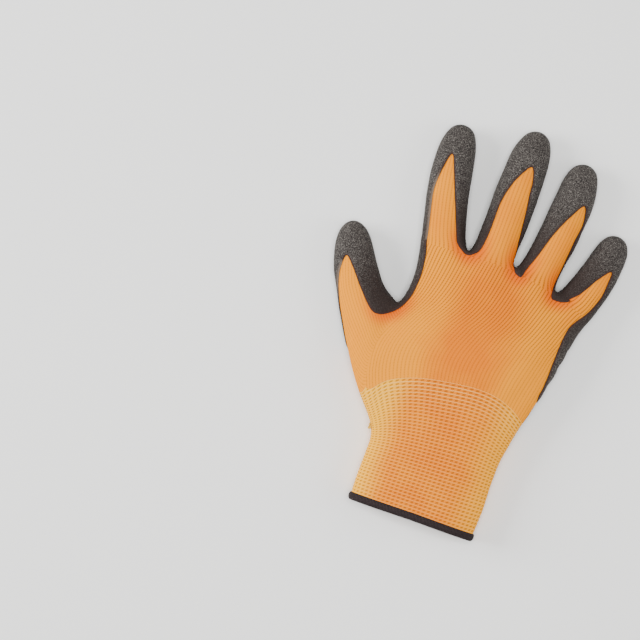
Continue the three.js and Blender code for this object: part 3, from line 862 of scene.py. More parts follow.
@dataclass
class KnitSurface:
    """The smooth outer surface of the whole liner, from which every layer of the glove is taken."""

    sizes: GloveSizes
    levels: int = 3
    smoothings: int = 8
    bulge: float = 0.3
    bulge_every: float = 14.0
    centre_line: float = 4.0
    obj: Object = field(init=False)
    own: OwnFrame = field(init=False)

    def __post_init__(self) -> None:
        """Builds the surface, places it in the row frame and presses in its folds."""
        cage = LinerCage(self.sizes)
        cage.fit()
        mesh = bpy.data.meshes.new("liner_surface")
        mesh.from_pydata([point * MM for point in cage.points], [], cage.quads)
        zones = mesh.attributes.new("zone", "INT", "FACE")
        zones.data.foreach_set("value", [zone.value for zone in cage.zones])
        stitches = mesh.uv_layers.new(name=STITCH_MAP)
        stitches.data.foreach_set("uv", [value for quad in cage.stitches for pair in quad for value in pair])
        self.obj = add_object("liner_surface", mesh)
        apply_modifier(self.obj, "SUBSURF", levels=self.levels, render_levels=self.levels)
        self._ease_steps()
        self._place()
        self._slope_hem()
        self._even_courses()
        self._press_folds()

    def _place(self) -> None:
        """Finds the row frame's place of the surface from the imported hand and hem."""
        mesh = self.obj.data
        points = read_points(mesh) / MM
        zone = np.empty(len(mesh.polygons), dtype=int)
        mesh.attributes["zone"].data.foreach_get("value", zone)
        faces = [face for face in mesh.polygons if zone[face.index] == Zone.HAND.value]
        across = points[[index for face in faces for index in face.vertices]][:, 0]
        low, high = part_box("knit_hand")
        middle = (low.x + high.x) / 2 / MM
        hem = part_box("hem_overlock")[0]
        self.own = OwnFrame(middle - (across.min() + across.max()) / 2, hem.y / MM)
        write_points(mesh, self.own.to_row(points))

    def _ease_steps(self) -> None:
        """Eases the small steps where the digits grow out of the hand, and leaves the raw edge in place."""
        shape = bmesh.new()
        shape.from_mesh(self.obj.data)
        inner = [vertex for vertex in shape.verts if not vertex.is_boundary]
        for _ in range(self.smoothings):
            bmesh.ops.smooth_vert(
                shape, verts=inner, factor=0.5, use_axis_x=True, use_axis_y=True, use_axis_z=True)
        shape.to_mesh(self.obj.data)
        shape.free()

    def _slope_hem(self) -> None:
        """Lets the foot of the cuff rise towards its thumb side."""
        points = self.own.to_own(read_points(self.obj.data))
        fade = 1 - ease(points[:, 1] - self.sizes.raw_edge, 0.0, self.sizes.hem_slope_reach)
        points[:, 1] += fade * self.sizes.hem_rise(points[:, 0])
        write_points(self.obj.data, self.own.to_row(points))

    def _even_courses(self) -> None:
        """Spaces the courses of the cuff and the hand evenly along the middle of the back."""
        mesh = self.obj.data
        layer = mesh.uv_layers[STITCH_MAP]
        stitches = np.empty(2 * len(mesh.loops))
        layer.data.foreach_get("uv", stitches)
        stitches = stitches.reshape(-1, 2)
        corner = np.empty(len(mesh.loops), dtype=int)
        mesh.loops.foreach_get("vertex_index", corner)
        points = self.own.to_own(read_points(mesh))[corner]
        web_line = self.sizes.cuff_length + self.sizes.palm_length
        middle_level = self.sizes.coat_step + self.sizes.cuff_depth * self.sizes.side_rise
        on_line = (
            (np.abs(points[:, 0]) < self.centre_line) & (points[:, 2] > middle_level)
            & (stitches[:, 1] < web_line) & (points[:, 1] < web_line)
        )
        heights, places = np.unique(np.round(stitches[on_line, 1], 2), return_inverse=True)
        reached = np.bincount(places, points[on_line, 1]) / np.bincount(places)
        reached = np.maximum.accumulate(reached)
        low = stitches[:, 1] < web_line
        stitches[low, 1] = np.interp(
            stitches[low, 1], np.append(heights, web_line), np.append(reached, web_line))
        layer.data.foreach_set("uv", stitches.ravel())

    def _press_folds(self) -> None:
        """Presses the folds and a slight unevenness into the surface, which stays flat on the floor."""
        mesh = self.obj.data
        points = self.own.to_own(read_points(mesh))
        normals = read_normals(mesh)
        push = np.zeros(len(points))
        for fold in FOLDS:
            start = np.array(self.sizes.hand_point(fold.start))
            edge = np.array(self.sizes.hand_point(fold.end)) - start
            share = np.clip(((points[:, :2] - start) @ edge) / (edge @ edge), 0.0, 1.0)
            reach = np.linalg.norm(points[:, :2] - start - share[:, None] * edge, axis=1) / fold.width
            facing = np.ones(len(points))
            if fold.side is not Side.BOTH:
                facing = np.clip(normals[:, 2] * fold.side.value, 0.0, None)
            push += fold.depth * np.exp(-2 * reach**2) * facing
        bulges = np.array([noise.noise(Vector(point) / self.bulge_every) for point in points])
        push -= self.bulge * bulges
        points -= normals * push[:, None]
        points[:, 2] = np.maximum(points[:, 2], self.sizes.coat_step)
        write_points(mesh, self.own.to_row(points))

    def layer(self, name: str, zones: set[Zone], lift: float) -> Object:
        """Returns a copy of the surface for one piece.

        Args:
            name: The piece's name.
            zones: The knits that it covers.
            lift: Millimetres outwards from the knit surface.

        Returns:
            The open sheet as an object of its own.
        """
        mesh = self.obj.data.copy()
        mesh.name = name
        sheet = add_object(name, mesh)
        points = read_points(mesh) + read_normals(mesh) * (lift * MM)
        points[:, 2] = np.maximum(points[:, 2], (self.sizes.coat_step - lift) * MM)
        write_points(mesh, points)
        kept = {zone.value for zone in zones}
        shape = bmesh.new()
        shape.from_mesh(mesh)
        zone_of = shape.faces.layers.int["zone"]
        outside = [face for face in shape.faces if face[zone_of] not in kept]
        bmesh.ops.delete(shape, geom=outside, context="FACES")
        shape.to_mesh(mesh)
        shape.free()
        return sheet

    def rim(self) -> np.ndarray:
        """Returns the ring of own points at the raw edge of the cuff, in order round it."""
        shape = bmesh.new()
        shape.from_mesh(self.obj.data)
        edges = [edge for edge in shape.edges if edge.is_boundary]
        start = min((vertex for edge in edges for vertex in edge.verts), key=lambda vertex: vertex.co.x)
        ring = [start]
        last = None
        while True:
            steps = [edge for edge in ring[-1].link_edges if edge.is_boundary and edge is not last]
            last = max(steps, key=lambda edge: edge.other_vert(ring[-1]).co.z) if last is None else steps[0]
            following = last.other_vert(ring[-1])
            if following is start:
                break
            ring.append(following)
        points = np.array([tuple(vertex.co) for vertex in ring])
        shape.free()
        return self.own.to_own(points)

    def remove(self) -> None:
        """Removes the surface once every piece has its own copy."""
        bpy.data.objects.remove(self.obj)


def linear_colour(code: str) -> tuple[float, float, float, float]:
    """Returns the linear colour of an sRGB hex code."""
    channels = [int(code[place:place + 2], 16) / 255 for place in (1, 3, 5)]
    linear = [c / 12.92 if c <= 0.04045 else ((c + 0.055) / 1.055) ** 2.4 for c in channels]
    return (*linear, 1.0)


def set_input(tree: NodeTree, socket: NodeSocket, value: object) -> None:
    """Links a node or a socket to an input, or sets its value, with a hex code as a colour."""
    if isinstance(value, Node):
        value = value.outputs[MAIN_OUTPUTS.get(value.bl_idname, 0)]
    if isinstance(value, NodeSocket):
        tree.links.new(value, socket)
    else:
        socket.default_value = linear_colour(value) if isinstance(value, str) else value


def add_node(
    tree: NodeTree, kind: str, inputs: dict[int | str | tuple, object] | None = None, **settings: object,
) -> Node:
    """Adds a shader node with its settings and links.

    Args:
        tree: The node tree.
        kind: The node's type, without the ShaderNode that all of them start with.
        inputs: A value, a hex code, a node or a socket for each input, by its number or name, or a row
            of them for several numbers.
        settings: The node's own properties.

    Returns:
        The new node.
    """
    node = tree.nodes.new("ShaderNode" + kind)
    for name, value in settings.items():
        setattr(node, name, value)
    for key, value in (inputs or {}).items():
        pairs = zip(key, value) if isinstance(key, tuple) else ((key, value),)
        for place, item in pairs:
            set_input(tree, node.inputs[place], item)
    return node


def stitch_counts(tree: NodeTree) -> tuple[NodeSocket, NodeSocket]:
    """Returns the number of the wale and the millimetres of knit at each point."""
    stitch = add_node(tree, "SeparateXYZ", {0: add_node(tree, "UVMap", uv_map=STITCH_MAP)})
    return stitch.outputs["X"], stitch.outputs["Y"]


def place_in_repeat(tree: NodeTree, count: Node) -> tuple[Node, Node]:
    """Returns the place in a repeat from -0.5 to 0.5, and how far it is from the repeat's middle."""
    share = add_node(tree, "Math", {0: count}, operation="FRACT")
    place = add_node(tree, "Math", {0: share, 1: 0.5}, operation="SUBTRACT")
    return place, add_node(tree, "Math", {0: place}, operation="ABSOLUTE")


@dataclass(frozen=True)
class Finish:
    """A finish: shader values that are the same all over, and a drawing of its colour and relief."""

    name: ClassVar[str]
    constants: ClassVar[dict[str, float | str]]
    bump_strength: ClassVar[float] = 0.0
    bump_mm: ClassVar[float] = 0.0

    def material(self) -> Material:
        """Returns the finish as a material."""
        material = bpy.data.materials.new(self.name)
        material.use_nodes = True
        tree = material.node_tree
        shader = tree.nodes["Principled BSDF"]
        drawing = self.draw(tree)
        height = drawing.pop("Height", None)
        if height:
            relief = {"Height": height, "Strength": self.bump_strength, "Distance": self.bump_mm * MM}
            drawing["Normal"] = add_node(tree, "Bump", relief)
        for name, value in {**self.constants, **drawing}.items():
            set_input(tree, shader.inputs[name], value)
        return material

    def draw(self, tree: NodeTree) -> dict[str, Node]:
        """Adds the finish's own nodes.

        Args:
            tree: The material's node tree.

        Returns:
            The nodes for inputs of the shader by their names, and the one for the relief as Height.
        """
        return {}


@dataclass(frozen=True)
class JerseyKnit(Finish):
    """Fine seamless jersey of textured polyester in fluorescent orange, knitted on a glove machine.

    Its wales show as fine darker lines that lean over at the knuckles and run straight up the fingers,
    crossed by the notches of its courses. In the crotches, close to the dark coat, it is painted a deeper
    red-orange as shade; towards the sides it is painted paler as a sheen, and on the fingers paler all over.
    """

    name = "fluorescent_polyester_jersey"
    constants = {
        "Roughness": 0.9, "Specular IOR Level": 0.02,
        "Sheen Weight": 0.05, "Sheen Roughness": 0.4, "Sheen Tint": "#FFC460",
    }
    bump_strength = 0.6
    bump_mm = 0.25
    yarn: str = "#E27600"
    sheen_pale: str = "#F29400"
    groove: str = "#702E00"
    painted_web_shade: str = "#DC5200"
    course_mm: float = 1.5
    lean_from: float = 128.0
    lean_to: float = 172.0
    lean_wales_per_mm: float = 0.085
    chevron: float = 0.8
    groove_span: Share = (0.2, 0.5)
    notch_span: Share = (0.25, 0.5)
    groove_depth: float = 0.5
    notch_depth: float = 0.4
    cloud_mm: float = 30.0
    cloud_span: Share = (0.35, 0.65)
    cloud_paleness: float = 0.2

    def draw(self, tree: NodeTree) -> dict[str, Node]:
        """Adds the knit's nodes."""
        wale, height_mm = stitch_counts(tree)
        lean = -self.lean_wales_per_mm * (self.lean_to - self.lean_from)
        leaning = add_node(
            tree, "MapRange", {0: height_mm, (1, 2): (self.lean_from, self.lean_to), (3, 4): (0.0, lean)})
        wales = add_node(tree, "Math", {0: wale, 1: leaning}, operation="ADD")
        beside = place_in_repeat(tree, wales)[1]
        groove = add_node(
            tree, "MapRange", {0: beside, (1, 2): self.groove_span}, interpolation_type="SMOOTHSTEP")
        courses = add_node(tree, "Math", {0: height_mm, 1: 1 / self.course_mm}, operation="MULTIPLY")
        loops = add_node(tree, "Math", {0: beside, 1: self.chevron, 2: courses}, operation="MULTIPLY_ADD")
        notch = add_node(
            tree, "MapRange", {0: place_in_repeat(tree, loops)[1], (1, 2): self.notch_span},
            interpolation_type="SMOOTHSTEP")
        dark = add_node(
            tree, "Math", {0: notch, 1: self.notch_depth, 2: self.groove_depth}, operation="MULTIPLY_ADD")
        shadow = add_node(tree, "Math", {0: groove, 1: dark}, operation="MULTIPLY")
        lines = add_node(tree, "Attribute", attribute_name="wale_depth")
        depth = add_node(tree, "Math", {0: shadow, 1: lines}, operation="MULTIPLY")
        place = add_node(tree, "TexCoord").outputs["Object"]
        cloud = add_node(
            tree, "TexNoise", {"Vector": place, "Scale": 1 / (self.cloud_mm * MM), "Detail": 2.0})
        patch = add_node(
            tree, "MapRange",
            {0: cloud, (1, 2): self.cloud_span, 3: -self.cloud_paleness, 4: self.cloud_paleness})
        # Painted sheen: paler knit towards the sides, and an evenly paler tone on the fingers
        taut = add_node(tree, "Attribute", attribute_name="taut")
        pale_and_patches = add_node(tree, "Math", {0: taut, 1: patch}, operation="ADD", use_clamp=True)
        ground = add_node(tree, "Mix", {0: pale_and_patches, 6: self.yarn, 7: self.sheen_pale}, data_type="RGBA")
        # Painted shade: a deeper red-orange in the crotches of the fingers, close to the coat
        warmth = add_node(tree, "Attribute", attribute_name="warmth")
        web_shaded = add_node(tree, "Mix", {0: warmth, 6: ground, 7: self.painted_web_shade}, data_type="RGBA")
        lined = add_node(tree, "Mix", {0: depth, 6: web_shaded, 7: self.groove}, data_type="RGBA")
        height = add_node(tree, "Math", {0: 1.0, 1: shadow}, operation="SUBTRACT")
        return {"Base Color": lined, "Height": height}


@dataclass(frozen=True)
class ElasticKnit(Finish):
    """Cuff knit with an elastic thread laid into every course, which pulls it into small ribs.

    The covered elastic shows as thin pale lines, strongest in the first courses at the wrist, with short
    dark slanting openings between the ribs under each line. Towards its sides the knit is painted paler and
    yellower as a sheen, most on the thumb side.
    """

    name = "elasticated_polyester_rib"
    constants = {
        "Roughness": 0.9, "Specular IOR Level": 0.02,
        "Sheen Weight": 0.05, "Sheen Roughness": 0.4, "Sheen Tint": "#FFD070",
    }
    bump_strength = 0.7
    bump_mm = 0.3
    yarn: str = "#EA8200"
    opening: str = "#7E3A00"
    elastic: str = "#FFCA76"
    deep: str = "#E47600"
    side_sheen_pale: str = "#FFB414"
    ribs_per_wale: float = 0.5741
    course_mm: float = 2.3
    slant: float = -0.4
    rib_span: Share = (0.38, 0.16)
    dash_span: Share = (0.3, 0.08)
    thread_span: Share = (0.34, 0.48)
    opening_darkness: float = 0.58
    first_courses: Share = (70.0, 93.0)
    elastic_paleness: Share = (0.3, 0.85)
    cloud_mm: float = 24.0
    cloud_span: Share = (0.4, 0.65)

    def draw(self, tree: NodeTree) -> dict[str, Node]:
        """Adds the cuff's nodes."""
        wale, height_mm = stitch_counts(tree)
        place = add_node(tree, "TexCoord").outputs["Object"]
        cloud = add_node(
            tree, "TexNoise", {"Vector": place, "Scale": 1 / (self.cloud_mm * MM), "Detail": 2.0})
        ribs = add_node(tree, "Math", {0: wale, 1: self.ribs_per_wale}, operation="MULTIPLY")
        courses = add_node(tree, "Math", {0: height_mm, 1: 1 / self.course_mm}, operation="MULTIPLY")
        in_rib, beside_rib = place_in_repeat(tree, ribs)
        dashes = add_node(tree, "Math", {0: in_rib, 1: self.slant, 2: courses}, operation="MULTIPLY_ADD")
        rib, dash, thread = (
            add_node(tree, "MapRange", {0: beside, (1, 2): span}, interpolation_type="SMOOTHSTEP")
            for beside, span in (
                (beside_rib, self.rib_span),
                (place_in_repeat(tree, dashes)[1], self.dash_span),
                (place_in_repeat(tree, courses)[1], self.thread_span),
            )
        )
        hole = add_node(tree, "Math", {0: rib, 1: dash}, operation="MULTIPLY")
        shown = add_node(
            tree, "MapRange", {0: height_mm, (1, 2): self.first_courses, (3, 4): self.elastic_paleness})
        pale = add_node(tree, "Math", {0: thread, 1: shown}, operation="MULTIPLY")
        patch = add_node(tree, "MapRange", {0: cloud, (1, 2): self.cloud_span})
        ground = add_node(tree, "Mix", {0: patch, 6: self.yarn, 7: self.deep}, data_type="RGBA")
        # Painted sheen: paler, yellower knit towards the sides of the cuff, most on the thumb side
        taut = add_node(tree, "Attribute", attribute_name="taut")
        sided = add_node(tree, "Mix", {0: taut, 6: ground, 7: self.side_sheen_pale}, data_type="RGBA")
        dark = add_node(tree, "Math", {0: hole, 1: self.opening_darkness}, operation="MULTIPLY")
        opened = add_node(tree, "Mix", {0: dark, 6: sided, 7: self.opening}, data_type="RGBA")
        threaded = add_node(tree, "Mix", {0: pale, 6: opened, 7: self.elastic}, data_type="RGBA")
        height = add_node(tree, "Math", {0: pale, 1: hole}, operation="SUBTRACT")
        return {"Base Color": threaded, "Height": height}


@dataclass(frozen=True)
class CrinkleLatex(Finish):
    """Natural rubber latex, dipped and crinkled while wet, with carbon black.

    The skin shrinks into fine wrinkles like coarse sand. Its grain is painted with light grey crests as a
    highlight, most seen at the fingertips, and near black troughs as shade; in the crotches and on the palm
    side it is painted smoother and darker, as shade. Where it runs out at the edge it is thin, and the
    knit's brown shows through it. The real wrinkles are half as coarse, and are drawn as wide as a render
    shows.
    """

    name = "crinkled_natural_latex"
    constants = {"Specular IOR Level": 0.22}
    bump_strength = 0.8
    bump_mm = 0.45
    crest: str = "#827D77"
    skin: str = "#3D3835"
    trough: str = "#141010"
    crotch: str = "#251A17"
    edge: str = "#35211B"
    soaked: str = "#6A5A4D"
    grain_mm: float = 0.52
    wrinkle_grains: float = 1.5
    wrinkle_depth: float = 0.2
    edge_span: Share = (0.1, 1.6)
    levels: tuple[float, float, float] = (0.24, 0.42, 0.6)
    rough_levels: Share = (0.3, 0.6)
    roughness: Share = (0.85, 0.62)

    def draw(self, tree: NodeTree) -> dict[str, Node]:
        """Adds the coat's nodes."""
        place = add_node(tree, "TexCoord").outputs["Object"]
        grain = add_node(
            tree, "TexNoise",
            {"Vector": place, "Scale": 1 / (self.grain_mm * MM), "Detail": 3.0, "Roughness": 0.66,
             "Distortion": 0.4})
        wrinkle = add_node(
            tree, "TexVoronoi",
            {"Vector": place, "Scale": 1 / (self.grain_mm * self.wrinkle_grains * MM), "Randomness": 1.0},
            feature="F1")
        relief = add_node(
            tree, "Math", {0: wrinkle, 1: -self.wrinkle_depth, 2: grain}, operation="MULTIPLY_ADD")
        edge, crotch, soak = (
            add_node(tree, "Attribute", attribute_name=name) for name in ("edge_mm", "crotch", "soaked")
        )
        body = add_node(
            tree, "MapRange", {0: edge, (1, 2): self.edge_span}, interpolation_type="SMOOTHSTEP")
        # The grain's own tone, partly painted light: light grey crests as highlight and near black troughs
        # as shade
        low = add_node(tree, "MapRange", {0: relief, (1, 2): self.levels[:2]})
        high = add_node(tree, "MapRange", {0: relief, (1, 2): self.levels[1:]})
        dark = add_node(tree, "Mix", {0: low, 6: self.trough, 7: self.skin}, data_type="RGBA")
        lit = add_node(tree, "Mix", {0: high, 6: dark, 7: self.crest}, data_type="RGBA")
        # Painted shade: darker, even skin in the crotches and on the palm side
        shaded = add_node(tree, "Mix", {0: crotch, 6: lit, 7: self.crotch}, data_type="RGBA")
        rim = add_node(tree, "Mix", {0: soak, 6: self.edge, 7: self.soaked}, data_type="RGBA")
        tinted = add_node(tree, "Mix", {0: body, 6: rim, 7: shaded}, data_type="RGBA")
        height = add_node(tree, "Math", {0: relief, 1: body}, operation="MULTIPLY")
        rough = add_node(tree, "MapRange", {0: relief, (1, 2): self.rough_levels, (3, 4): self.roughness})
        return {"Base Color": tinted, "Height": height, "Roughness": rough}


@dataclass(frozen=True)
class OverlockThread(Finish):
    """Textured polyester thread, oversewn side by side round the raw edge.

    Each turn lies slightly aslant and shows as a fine ridge with a dark line beside it.
    """

    name = "overlock_polyester_thread"
    constants = {"Roughness": 0.75, "Specular IOR Level": 0.15}
    bump_strength = 0.4
    bump_mm = 0.1
    thread: str = "#33292A"
    groove: str = "#0D0908"
    fuzz_mm: float = 0.6
    tone_span: Share = (0.1, 0.55)

    def draw(self, tree: NodeTree) -> dict[str, Node]:
        """Adds the hem's nodes."""
        ridge = add_node(tree, "Attribute", attribute_name="ridge")
        place = add_node(tree, "TexCoord").outputs["Object"]
        fuzz = add_node(tree, "TexNoise", {"Vector": place, "Scale": 1 / (self.fuzz_mm * MM), "Detail": 2.0})
        tone = add_node(tree, "Math", {0: fuzz, 1: ridge}, operation="MULTIPLY")
        level = add_node(tree, "MapRange", {0: tone, (1, 2): self.tone_span})
        colour = add_node(tree, "Mix", {0: level, 6: self.groove, 7: self.thread}, data_type="RGBA")
        return {"Base Color": colour, "Height": fuzz}


@dataclass(frozen=True)
class PlainYarn(Finish):
    """Bare textured yarn, a soft bundle of filaments that looks matt and fluffy."""

    name = "textured_polyester_yarn"
    constants = {"Roughness": 0.85}
    bump_strength = 0.5
    bump_mm = 0.1
    yarn: str = "#E9BE45"
    hollow: str = "#B98A22"
    fuzz_mm: float = 0.4

    def draw(self, tree: NodeTree) -> dict[str, Node]:
        """Adds the yarn's nodes."""
        place = add_node(tree, "TexCoord").outputs["Object"]
        fuzz = add_node(tree, "TexNoise", {"Vector": place, "Scale": 1 / (self.fuzz_mm * MM), "Detail": 2.0})
        colour = add_node(tree, "Mix", {0: fuzz, 6: self.hollow, 7: self.yarn}, data_type="RGBA")
        return {"Base Color": colour, "Height": fuzz}


@dataclass(frozen=True)
class WhiteBoard(Finish):
    """The matt white board that the glove lies on."""

    name = "matt_white_board"
    constants = {"Base Color": "#FAFAF8", "Roughness": 0.9}


def dress(obj: Object, material: Material, nodes: tuple[str, ...] = ()) -> None:
    """Gives a finished piece its material and its place in the frame.

    Args:
        obj: The piece.
        material: Its finish.
        nodes: The CAD nodes that it stands for.
    """
    obj.data.materials.clear()
    obj.data.materials.append(material)
    obj.data.polygons.foreach_set("material_index", [0] * len(obj.data.polygons))
    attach(obj, "root")
    if nodes:
        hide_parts(*nodes)
    LOG.info("%s: %d faces", obj.name, len(obj.data.polygons))


def near_crotches(sizes: GloveSizes, points: np.ndarray, spread: float) -> np.ndarray:
    """Returns how close each point lies to a crotch between two digits, from 0 to 1.

    Args:
        sizes: The glove's sizes.
        points: Own points, one per row.
        spread: Millimetres at which the closeness has faded to about a third.
    """
    spots = [np.array(sizes.hand_point(web)) for web in WEBS[1:-1]]
    spots.append(np.array(sizes.hand_point(THUMB_WEB[1])))
    closeness = np.zeros(len(points))
    for spot in spots:
        gap = np.linalg.norm(points[:, :2] - spot, axis=1)
        closeness = np.maximum(closeness, np.exp(-((gap / spread) ** 3)))
    return closeness


@dataclass
class KnitLiner:
    """The knitted hand and its cuff, two closed shells that meet at the wrist line."""

    surface: KnitSurface
    coat: CoatReach
    # Strength, reach and spread of the painted shade in the crotches of the fingers
    painted_web_shade: float = 0.85
    web_shade_reach: float = 10.0
    web_shade_spread: float = 17.0
    # How strong and where the painted sheen is: far side of the cuff, fingers, and the spans where it fades
    # in
    far_paleness: float = 0.65
    finger_paleness: float = 0.7
    cuff_thumb_side: Share = (21.0, 43.0)
    cuff_far_side: Share = (17.0, 41.0)
    hand_middle: float = 2.0
    hand_sides: Share = (8.0, 34.0)
    finger_roots: Share = (165.0, 185.0)
    shallow: float = 0.4
    deeper_at_knuckles: float = 0.55
    shallower_on_fingers: float = 0.5
    knuckles: Share = (108.0, 142.0)
    web_line: Share = (168.0, 178.0)
    thumb_side: Share = (40.0, 56.0)
    thumb_top: Share = (170.0, 178.0)
    thumb_slant: float = 0.3
    thumb_level: float = 100.0

    def _warmth(self, points: np.ndarray) -> np.ndarray:
        """Returns how much painted shade each point gets, a deeper red-orange close to the coat in the
        crotches of the fingers.
        """
        near_web = near_crotches(self.surface.sizes, points, self.web_shade_spread)
        near_coat = 1 - ease(-self.coat.distance(points), 0.0, self.web_shade_reach)
        return self.painted_web_shade * near_web * near_coat

    def _sheen_paleness(self, zone: Zone, points: np.ndarray) -> np.ndarray:
        """Returns how much paler the knit is painted as a sheen: least in its middle, most at its thumb
        side.

        Args:
            zone: The knit.
            points: Own points, one per row.
        """
        across, along = points[:, 0], points[:, 1]
        if zone is Zone.CUFF:
            far_side = self.far_paleness * ease(across, *self.cuff_far_side)
            return np.where(across < 0, ease(-across, *self.cuff_thumb_side), far_side)
        on_hand = ease(np.abs(across - self.hand_middle), *self.hand_sides)
        on_finger = ease(along, *self.finger_roots)
        return on_hand + (self.finger_paleness - on_hand) * on_finger

    def _wale_depth(self, points: np.ndarray) -> np.ndarray:
        """Returns how strongly the wales show: most at the knuckles, least by the cuff and on the thumb."""
        across, along = points[:, 0], points[:, 1]
        up_hand = self.shallow + self.deeper_at_knuckles * ease(along, *self.knuckles)
        up_hand = up_hand - self.shallower_on_fingers * ease(along, *self.web_line)
        beyond = -across - self.thumb_slant * (along - self.thumb_level)
        on_thumb = ease(beyond, *self.thumb_side) * (1 - ease(along, *self.thumb_top))
        return up_hand + (self.shallow - up_hand) * on_thumb

    def _shell(self, name: str, zone: Zone) -> Object:
        """Returns one knit as a wall of the right thickness."""
        piece = self.surface.layer(name, {zone}, 0.0)
        points = self.surface.own.to_own(read_points(piece.data))
        # Painted sheen: paler knit towards the sides
        write_attribute(piece.data, "taut", self._sheen_paleness(zone, points))
        if zone is Zone.HAND:
            # Painted shade in the crotches of the fingers, close to the coat
            write_attribute(piece.data, "warmth", self._warmth(points))
            write_attribute(piece.data, "wale_depth", self._wale_depth(points))
        apply_modifier(piece, "SOLIDIFY", thickness=self.surface.sizes.knit_wall * MM, offset=-1.0)
        smooth_by_angle(piece, 50)
        return piece

    def build(self) -> None:
        """Builds and dresses the hand and the cuff."""
        dress(self._shell("knit_hand_jersey", Zone.HAND), JerseyKnit().material(), ("knit_hand",))
        dress(self._shell("knit_cuff_ribs", Zone.CUFF), ElasticKnit().material(), ("knit_cuff",))


@dataclass
class LatexCoat:
    """The dipped coat: a skin over the knit, cut along its drawn edge and thinning out towards it."""

    surface: KnitSurface
    coat: CoatReach
    soak: float = 0.12
    edge_share: float = 0.24
    edge_width: float = 2.6
    refine_reach: tuple[float, ...] = (2.4, 1.2)
    snap: float = 0.05
    crotch_shade_spread: float = 36.0
    crotch_shade_strength: float = 0.88
    palm_shade_strength: float = 0.3
    palm_heights: Share = (2.0, 8.0)
    index_strip: Share = (0.1, 0.72)
    thumb_strip: Share = (0.2, 0.66)
    strip_offset: float = -0.42
    strip_fade: Share = (2.0, 4.0)
    strip_steps: int = 24
    distance_name: str = "edge_mm"

    def _measure(self, shape: bmesh.types.BMesh) -> None:
        """Stores every vertex's distance to the coat's edge."""
        layer = shape.verts.layers.float.get(self.distance_name)
        if layer is None:
            layer = shape.verts.layers.float.new(self.distance_name)
        points = self.surface.own.to_own(np.array([tuple(vertex.co) for vertex in shape.verts]))
        values = self.coat.distance(points)
        values[np.abs(values) < self.snap] = 0.0
        for vertex, value in zip(shape.verts, values):
            vertex[layer] = value

    def _refine(self, shape: bmesh.types.BMesh, reach: float) -> None:
        """Halves the faces close to the coat's edge."""
        layer = shape.verts.layers.float[self.distance_name]
        near = [face for face in shape.faces if min(abs(vertex[layer]) for vertex in face.verts) < reach]
        edges = list({edge for face in near for edge in face.edges})
        bmesh.ops.subdivide_edges(shape, edges=edges, cuts=1, use_grid_fill=True)
        self._measure(shape)

    def _cut(self, shape: bmesh.types.BMesh) -> None:
        """Splits the faces along the coat's edge and drops what lies beyond it."""
        layer = shape.verts.layers.float[self.distance_name]

        def sides(face: bmesh.types.BMFace) -> tuple[float, float]:
            """Returns the lowest and the highest distance of a face's corners."""
            values = [vertex[layer] for vertex in face.verts]
            return min(values), max(values)

        crossed = [face for face in shape.faces if sides(face)[0] < 0 < sides(face)[1]]
        bmesh.ops.triangulate(shape, faces=crossed)
        for edge in [edge for edge in shape.edges if edge.verts[0][layer] * edge.verts[1][layer] < 0]:
            first, second = edge.verts
            share = first[layer] / (first[layer] - second[layer])
            _, middle = bmesh.utils.edge_split(edge, first, share)
            middle[layer] = 0.0
        for face in [face for face in shape.faces if sides(face)[0] < 0 < sides(face)[1]]:
            on_edge = [vertex for vertex in face.verts if vertex[layer] == 0.0]
            if len(on_edge) == 2:
                bmesh.utils.face_split(face, on_edge[0], on_edge[1])
        beyond = [face for face in shape.faces if sides(face)[0] < 0]
        bmesh.ops.delete(shape, geom=beyond, context="FACES")
        bmesh.ops.dissolve_degenerate(shape, dist=0.01 * MM, edges=shape.edges[:])
        bmesh.ops.triangulate(shape, faces=[face for face in shape.faces if len(face.verts) > 4])

    def _soaked(self, points: np.ndarray) -> np.ndarray:
        """Returns 1 beside the bare tongues of the index finger and the thumb on their outer side.

        There the latex ran thin into the knit, which shows through as a greyish brown strip.

        Args:
            points: Own points, one per row.
        """
        sizes = self.surface.sizes
        strips = (
            (sizes.finger_root(0), FINGERS["index"], self.index_strip),
            (sizes.hand_point(sizes.thumb_root), THUMB, self.thumb_strip),
        )
        soaked = np.zeros(len(points))
        for root, digit, (low, high) in strips:
            for share in np.linspace(low, high, self.strip_steps):
                centre, across = digit.station(root, share)
                spot = centre + across * (self.strip_offset * digit.width)
                gap = np.linalg.norm(points[:, :2] - np.array(spot), axis=1)
                soaked = np.maximum(soaked, 1 - ease(gap, *self.strip_fade))
        return soaked

    def build(self) -> None:
        """Builds and dresses the coat."""
        piece = self.surface.layer("latex_coat_skin", {Zone.HAND, Zone.CUFF}, self.soak)
        shape = bmesh.new()
        shape.from_mesh(piece.data)
        self._measure(shape)
        for reach in self.refine_reach:
            self._refine(shape, reach)
        self._cut(shape)
        layer = shape.verts.layers.float[self.distance_name]
        distances = np.array([vertex[layer] for vertex in shape.verts])
        shape.to_mesh(piece.data)
        shape.free()
        weights = self.edge_share + (1 - self.edge_share) * ease(distances, 0.0, self.edge_width)
        group = piece.vertex_groups.new(name="thickness")
        for index, weight in enumerate(weights):
            group.add([index], float(weight), "REPLACE")
        thickness = self.surface.sizes.coat_step - self.soak
        apply_modifier(piece, "SOLIDIFY", thickness=thickness * MM, offset=1.0, vertex_group=group.name)
        points = read_points(piece.data)
        points[:, 2] = np.maximum(points[:, 2], 0.0)
        write_points(piece.data, points)
        own = self.surface.own.to_own(points)
        # Painted shade: the coat is darker near the crotches on the back and over the palm side
        on_back = ease(own[:, 2], *self.palm_heights)
        crotch = self.crotch_shade_strength * near_crotches(self.surface.sizes, own, self.crotch_shade_spread) * on_back
        crotch = np.maximum(crotch, self.palm_shade_strength * (1 - on_back))
        write_attribute(piece.data, "crotch", crotch)
        write_attribute(piece.data, "soaked", self._soaked(own))
        smooth_by_angle(piece, 60)
        dress(piece, CrinkleLatex().material(), ("latex_coat",))


